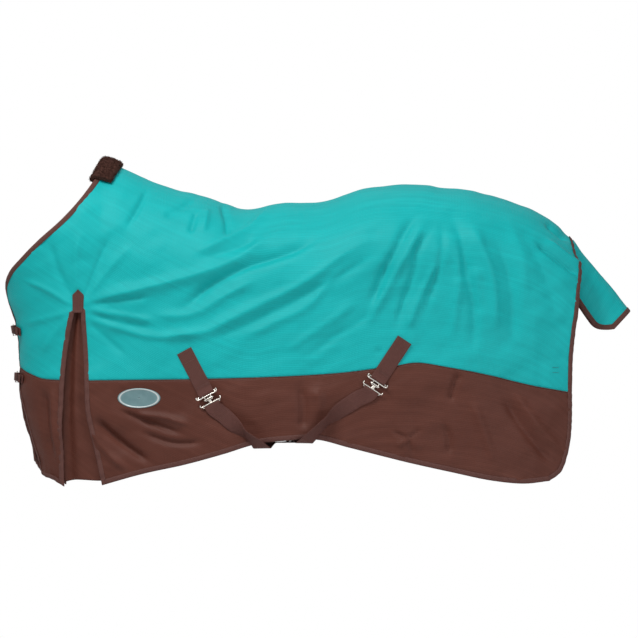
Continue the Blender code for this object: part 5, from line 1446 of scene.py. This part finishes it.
def chestFastening(label):
    matrix = chestFrame(chest["levels"][label])
    lift, heel, nose = chest["lift"], -0.014, 0.013
    half = chest["width"] / 2 + 0.0006 + chest["wire"]
    ring = roundedLoop([(-half, heel, lift), (half, heel, lift), (half, nose, lift), (-half, nose, lift)],
                       0.004)
    buckle = tube(f"{label}BuckleWire", spots(matrix, ring), chest["wire"], looks["steel"], closed=True,
                  upHint=matrix[:3, 2])
    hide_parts(f"{label}_buckle")
    tongue = roundedCopy(f"{label}_tongue", f"{label}TonguePin", 0.0006, looks["steel"], f"{label}_tongue")
    near, facing = wrapPoints(matrix, (0.115, 0.105, 0.095, 0.085, 0.075, 0.065, 0.055, 0.045, 0.038),
                              chest["seat"] + 0.0016, "near")
    fold = [(heel - 0.008, lift - 0.0050), (heel - 0.0005, lift - 0.0037), (heel + 0.0036, lift - 0.0008),
            (heel + 0.0026, lift + 0.0028), (heel - 0.0012, lift + 0.0036), (heel - 0.0075, lift + 0.0012)]
    tilt = [(0, -0.1, 1), (0, 0.0, 1), (0, -1, 0.1), (0, -0.7, -0.7), (0, -0.1, -1), (0, 0.2, -1)]
    chape = strap(f"{label}ChapeWeb", np.concatenate([near, spots(matrix, [(0, y, z) for y, z in fold])]),
                  np.concatenate([facing, turned(matrix, tilt)]), chest["width"], web["thick"], looks["web"],
                  step=0.002)
    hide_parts(f"{label}_chape")
    off, offFacing = wrapPoints(matrix, np.linspace(0.130, 0.032, 10), chest["seat"] + 0.0016, "off")
    middle = [(nose + 0.006, lift - 0.0050), (nose - 0.001, lift - chest["wire"] - 0.0018),
              (0.004, lift - 0.0008),
              (heel + 0.010, lift + 0.0036), (heel, lift + 0.0072), (heel - 0.008, lift + 0.0068)]
    back, backFacing = wrapPoints(matrix, (0.044, 0.054, 0.064, 0.074, 0.084, 0.094, 0.104),
                                  chest["seat"] + web["thick"] * 2.5 + chest["billetGap"] + 0.0004, "near")
    lean = np.repeat(turned(matrix, [(0, -0.3, 1)]), len(middle), 0)
    billet = strap(f"{label}BilletWeb", np.concatenate([off, spots(matrix, [(0, y, z) for y, z in middle]),
                                                        back]),
                   np.concatenate([offFacing, lean, backFacing]), chest["width"], web["thick"], looks["web"],
                   step=0.002)
    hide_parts(f"{label}_billet")
    centre, normal = wrapPoints(matrix, (0.070,), chest["seat"] + web["thick"], "near")
    local = frameAt(centre[0], normal[0], np.cross(normal[0], matrix[:3, 0]))
    wide, low = chest["width"] / 2 + chest["play"], 0.0014
    high = low + 0.0010 + web["thick"] + 3 * chest["billetGap"]
    loop = roundedLoop([(0, -wide, low), (0, wide, low), (0, wide, high), (0, -wide, high)], 0.0016)
    middlePoint = loop.mean(axis=0)
    outward = unit(loop - middlePoint)
    section = [(-0.006, -0.0005), (0.006, -0.0005), (0.006, 0.0005), (-0.006, 0.0005)]
    rings = np.stack([spots(local, loop + outward * t + [x, 0, 0]) for x, t in section], axis=1)
    keeper = sweep(f"{label}KeeperWeb", rings, looks["web"], closed=True)
    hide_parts(f"{label}_keeper")


for label in ("upper", "lower"):
    chestFastening(label)


def legStrapRing(side):
    point, normal = sidePoint(0.956, 0.617, side)
    inward = -normal
    matrix = frameAt(point, inward, (0, 0, -1))
    lift, half, drop = 0.0120, 0.0225, 0.032
    pivot = moved(matrix, 0, 0, lift)
    bend = [(0, -half, 0), (0, -half / 2, 0), (0, 0, 0), (0, half / 2, 0), (0, half, 0)]
    bend += [(drop * math.sin(a), half * math.cos(a), 0) for a in np.radians(np.arange(12, 180, 12))]
    dee = tube(f"{side}DeeRing", spots(pivot, bend), 0.0021, looks["steel"], f"{side}_dee", closed=True,
               upHint=inward)
    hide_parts(f"{side}_dee")
    laid, facing = layOn(spots(matrix, [(s, 0, 0) for s in (-0.045, -0.036, -0.028, -0.020, -0.014)]), side,
                         -0.0078)
    fold = [(-0.0075, lift + 0.0020), (-0.0015, lift + 0.0044), (0.0034, lift + 0.0030),
            (0.0044, lift - 0.0002),
            (0.0026, lift - 0.0034), (-0.0040, lift - 0.0036)]
    angles = np.radians([0, 10, 50, 95, 150, 185])
    line = np.concatenate([laid, spots(matrix, [(a, 0, n) for a, n in fold])])
    tilt = np.concatenate([-facing, turned(matrix, [(math.sin(a), 0, math.cos(a)) for a in angles])])
    tab = strap(f"{side}DeeTab", line, tilt, 0.025, web["thick"], looks["web"], step=0.002)
    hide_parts(f"{side}_dee_tab")
    # the two rows of stitching that hold the tab show on the outside as bar tacks
    for k, share in enumerate((-0.034, -0.018)):
        flat = spots(matrix, [(share, y, 0) for y in np.linspace(-0.011, 0.011, 8)])
        points, normals = layOn(flat, side, 0.0002)
        sewn = stitches(f"{side}BarTack{k}", points, normals, looks["tack"], pitch=0.0014, length=0.0016,
                        radius=0.0007)


for side in ("near", "off"):
    legStrapRing(side)
print("chest and leg rings made")

# ---------------------------------------------------------------- withers fleece

fleece = {"thick": 0.011, "leg": 0.048, "reachRows": 19, "ease": 0.0018, "curls": 6400, "rings": 120,
          "around": 64}


def makeFleece():
    # pad folded over the front of the neck: a U-shaped section carried over the withers, with lumps and curls
    rows = [("near", r) for r in range(fleece["reachRows"], -1,
                                       -1)] + [("off", r) for r in range(1, fleece["reachRows"] + 1)]
    edge = np.array([cloths[s]["outer"][r, 0] for s, r in rows])
    inner = np.array([cloths[s]["outer"][r, 11] for s, r in rows])
    normal = np.array([cloths[s]["normals"][r, 0] for s, r in rows])
    innerNormal = np.array([cloths[s]["normals"][r, 11] for s, r in rows])
    inner = edge + unit(inner - edge) * fleece["leg"]
    count, around = fleece["rings"], fleece["around"]
    edge, inner, normal, innerNormal = (smoothLine(line, count)
                                        for line in (edge, inner, normal, innerNormal))
    back = unit(inner - edge)
    leg, thick = fleece["leg"], fleece["thick"]
    high = 0.0019 + fleece["ease"]
    low = -0.0059 - high
    ahead = high + 0.0009
    outline = [(leg, high), (leg + 0.001, high + thick * 0.35), (leg - 0.003, high + thick * 0.85),
               (leg * 0.75, high + thick * 1.12), (leg * 0.45, high + thick * 1.18),
               (leg * 0.15, high + thick * 1.12),
               (-ahead - thick * 0.3, high + thick * 0.95), (-ahead - thick * 0.85, high + thick * 0.3),
               (-ahead - thick * 0.95, low * 0.5), (-ahead - thick * 0.7, low - thick * 0.3),
               (-ahead, low - thick * 0.6), (leg * 0.4, low - thick * 0.62), (leg * 0.85, low - thick * 0.5),
               (leg, low - thick * 0.2), (leg, low)]
    hidden = [(leg * 0.5, low), (-ahead * 0.6, low), (-ahead, low * 0.5), (-ahead * 0.7, high),
              (leg * 0.5, high)]
    outer = smoothLine(np.array(outline), around)
    loop = np.concatenate([outer, np.array(hidden)])
    share = np.clip((loop[:, 0] + 0.02) / (leg + 0.02), 0, 1)[None, :, None]
    facing = unit(normal[:, None] * (1 - share) + innerNormal[:, None] * share)
    points = edge[:, None] + back[:, None] * loop[None, :, :1] + facing * loop[None, :, 1:]
    # lumps: each point is pushed out by how near it lies to the closest of many random seeds on the surface
    generator = np.random.default_rng(21)
    swell = np.zeros(points.shape[:2])
    flat = points[:, :around].reshape(-1, 3)
    seeds = flat[generator.choice(len(flat), 900, replace=False)]
    near = np.full(len(flat), 1e9)
    for start in range(0, len(seeds), 100):
        near = np.minimum(near, np.linalg.norm(flat[:, None] - seeds[None, start:start + 100],
                                               axis=2).min(axis=1))
    bulge = 0.0024 * np.sqrt(np.clip(1 - (near / 0.0052) ** 2, 0, 1)) - 0.0008
    swell[:, :around] = bulge.reshape(count, around)
    centre = points.mean(axis=1, keepdims=True)
    outward = np.cross(np.gradient(points, axis=0), np.gradient(points, axis=1))
    outward = unit(outward)
    outward *= np.sign((outward * (points - centre)).sum(axis=2).sum())
    fade = np.clip(np.minimum(np.arange(around), np.arange(around - 1, -1, -1)) / 3, 0, 1)
    swell[:, :around] *= fade
    points = points + outward * swell[..., None]
    made = sweep("withersFleecePad", points, looks["fleece"])
    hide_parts("withers_fleece")
    return points[:, :around].reshape(-1, 3), outward[:, :around].reshape(-1, 3)


def curlStrands(roots, outward):
    # short three-sided strands, each a small hook that leans and curls over: circle arcs in a random plane
    generator = np.random.default_rng(5)
    pick = generator.choice(len(roots), fleece["curls"], replace=True)
    root = roots[pick] + generator.normal(0, 0.0006, (len(pick), 3))
    out = unit(outward[pick] + generator.normal(0, 0.35, (len(pick), 3)))
    side = unit(np.cross(out, generator.normal(0, 1, (len(pick), 3))))
    size = generator.uniform(0.0014, 0.0036, len(pick))[:, None, None]
    turn = np.linspace(0, 1, 6)[None, :, None] * generator.uniform(2.2, 4.2, len(pick))[:, None, None]
    centre = root[:, None] - out[:, None] * 0.0006
    line = centre + size * (out[:, None] * np.sin(turn) * 1.15 + side[:, None] * (1 - np.cos(turn)))
    along = unit(np.gradient(line, axis=1))
    flank = unit(np.cross(along, np.cross(out, side)[:, None] + 0.01))
    lift = np.cross(along, flank)
    radius = (0.00042 * np.array([1, 1, 0.95, 0.85, 0.7, 0.35]))[None, :, None, None]
    angle = np.array([0, 2, 4]) * math.pi / 3
    points = line[:, :, None] + radius * (flank[:, :, None] * np.cos(angle)[None, None, :, None]
                                          + lift[:, :, None] * np.sin(angle)[None, None, :, None])
    ring, corner = np.arange(5)[:, None], np.arange(3)[None, :]
    cell = np.stack([ring * 3 + corner, ring * 3 + (corner + 1) % 3, (ring + 1) * 3 + (corner + 1) % 3,
                     (ring + 1) * 3 + corner], axis=-1).reshape(-1, 4)
    quads = (cell[None] + np.arange(len(pick))[:, None, None] * 18).reshape(-1, 4)
    flat = points.reshape(-1, 3)
    spread = (points - line[:, :, None]).reshape(-1, 3)
    p, q, r = flat[quads[:, 0]], flat[quads[:, 1]], flat[quads[:, 2]]
    if (np.cross(q - p, r - p) * spread[quads[:, 0]]).sum() < 0:
        quads = quads[:, ::-1]
    made = addObject("withersFleeceCurls", quadMesh("withersFleeceCurls", flat, quads), looks["fleece"])
    return made


curls = curlStrands(*makeFleece())
print("fleece curled")

# ---------------------------------------------------------------- tail flap

flap = {"slope": -51, "turn": 100, "rows": 55, "columns": 48, "length": 0.285, "half": 0.085, "drop": 0.105,
        "tailHead": 0.988}


def makeFlap():
    # half tube over the tail: each cross section drops by 1 - cos and spreads by sin of the angle
    # round the tail
    last, edge = flap["rows"], flap["columns"]
    x = place(flap["tailHead"], 0)[0]
    root = np.array([x + 0.0033, 0, topLine(x) - 0.0010])
    slope = math.radians(flap["slope"])
    run = np.array([math.cos(slope), 0, math.sin(slope)])
    turn = math.radians(flap["turn"])
    share = np.linspace(0, 1, last + 1)[:, None]
    # the sides draw in near the end, which rounds its corners
    narrow = 1 - 0.25 * np.clip((share - 0.70) / 0.30, 0, 1) ** 2.4
    angle = np.linspace(-turn, turn, edge + 1)[None] * narrow
    lean = np.radians(-104 - 30 * share)
    drop = np.stack([np.cos(lean), 0 * lean, np.sin(lean)], axis=-1)
    down = flap["drop"] * (1 - np.cos(angle)) * (1.0 + 0.06 * (1 - share))
    side = flap["half"] * np.sin(angle) * (0.9 + 0.15 * share)
    points = (root + run * share[..., None] * flap["length"] + drop * down[..., None]
              + np.stack([0 * side, side, 0 * side], axis=-1))
    normals = unit(np.cross(np.gradient(points, axis=0), np.gradient(points, axis=1)))
    if normals[:, edge // 2, 2].sum() < 0:
        normals = -normals
    uv = np.stack([np.broadcast_to(angle * 0.09, points.shape[:2]),
                   np.broadcast_to(share * flap["length"], points.shape[:2])], axis=-1)
    ease = np.clip(share / 0.15, 0, 1) * (1 - 0.6 * np.abs(angle / turn) ** 4)
    height = (0.0022 * softNoise(uv[..., 0] * 1.4, uv[..., 1] * 0.7, 0.05, 2)
              + 0.0010 * softNoise(uv[..., 0], uv[..., 1], 0.022, 3)
              + 0.0022 * np.exp(-(((angle - 0.9 - share * 0.3) / 0.16) ** 2)) * share
              + 0.0022 * np.exp(-(((angle + 0.9 + share * 0.3) / 0.16) ** 2)) * share) * ease
    height = height - 0.0022 * ease
    points = points + normals * height[..., None]
    mask = np.ones((last, edge), bool)
    made = gridSheet("tailFlapCloth", points, normals, uv, mask, looks["teal"], rug["shell"], "tail_flap")
    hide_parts("tail_flap")
    path = np.array([(j, 0) for j in range(last + 1)] + [(last, i) for i in range(1, edge)]
                    + [(j, edge) for j in range(last, -1, -1)])
    rows, columns = path[:, 0], path[:, 1]
    hint = points[np.clip(rows, 0, last - 3), np.clip(columns, 3, edge - 3)] - points[rows, columns]
    bindTape("tailFlapTape", points[rows, columns], normals[rows, columns], hint, [last, last + edge],
             rug["shell"],
             "tail_flap_binding", "tail_flap", seed=6)


makeFlap()
print("tail flap sewn")

# ---------------------------------------------------------------- what the soft pieces were cut from


def cutSize(rows, columns):
    # size and area of a piece of cloth laid flat, from the unrolled grid of the near side
    cloth = cloths["near"]["cloth"][rows, columns]
    a, b = cloth[1:, :-1] - cloth[:-1, :-1], cloth[:-1, 1:] - cloth[:-1, :-1]
    area = float(np.abs(a[..., 0] * b[..., 1] - a[..., 1] * b[..., 0]).sum())
    size = cloth.reshape(-1, 2).max(axis=0) - cloth.reshape(-1, 2).min(axis=0)
    return (float(size[0]), float(size[1])), min(area, float(size[0] * size[1]))


every = slice(None)
upperCut = cutSize(slice(0, rowSeam + 1), every)
frontCut = cutSize(slice(rowSeam, None), slice(0, colLeft + 1))
rearCut = cutSize(slice(rowSeam, None), slice(colRight, None))
wholeCut = cutSize(every, every)
panelCut = cutSize(slice(rowTab, None), slice(colLeft - 4, colRight + 5))

# ---------------------------------------------------------------- floor

floorEdge, floorZ = studio["floorEdge"], studio["floorHeight"]
floorMesh = quadMesh("studioFloor", [(-floorEdge, -floorEdge, floorZ), (floorEdge, -floorEdge, floorZ),
                                     (floorEdge, floorEdge, floorZ), (-floorEdge, floorEdge, floorZ)],
                     [[0, 1, 2, 3]])
floor = addObject("studioFloor", floorMesh, looks["floor"], None)
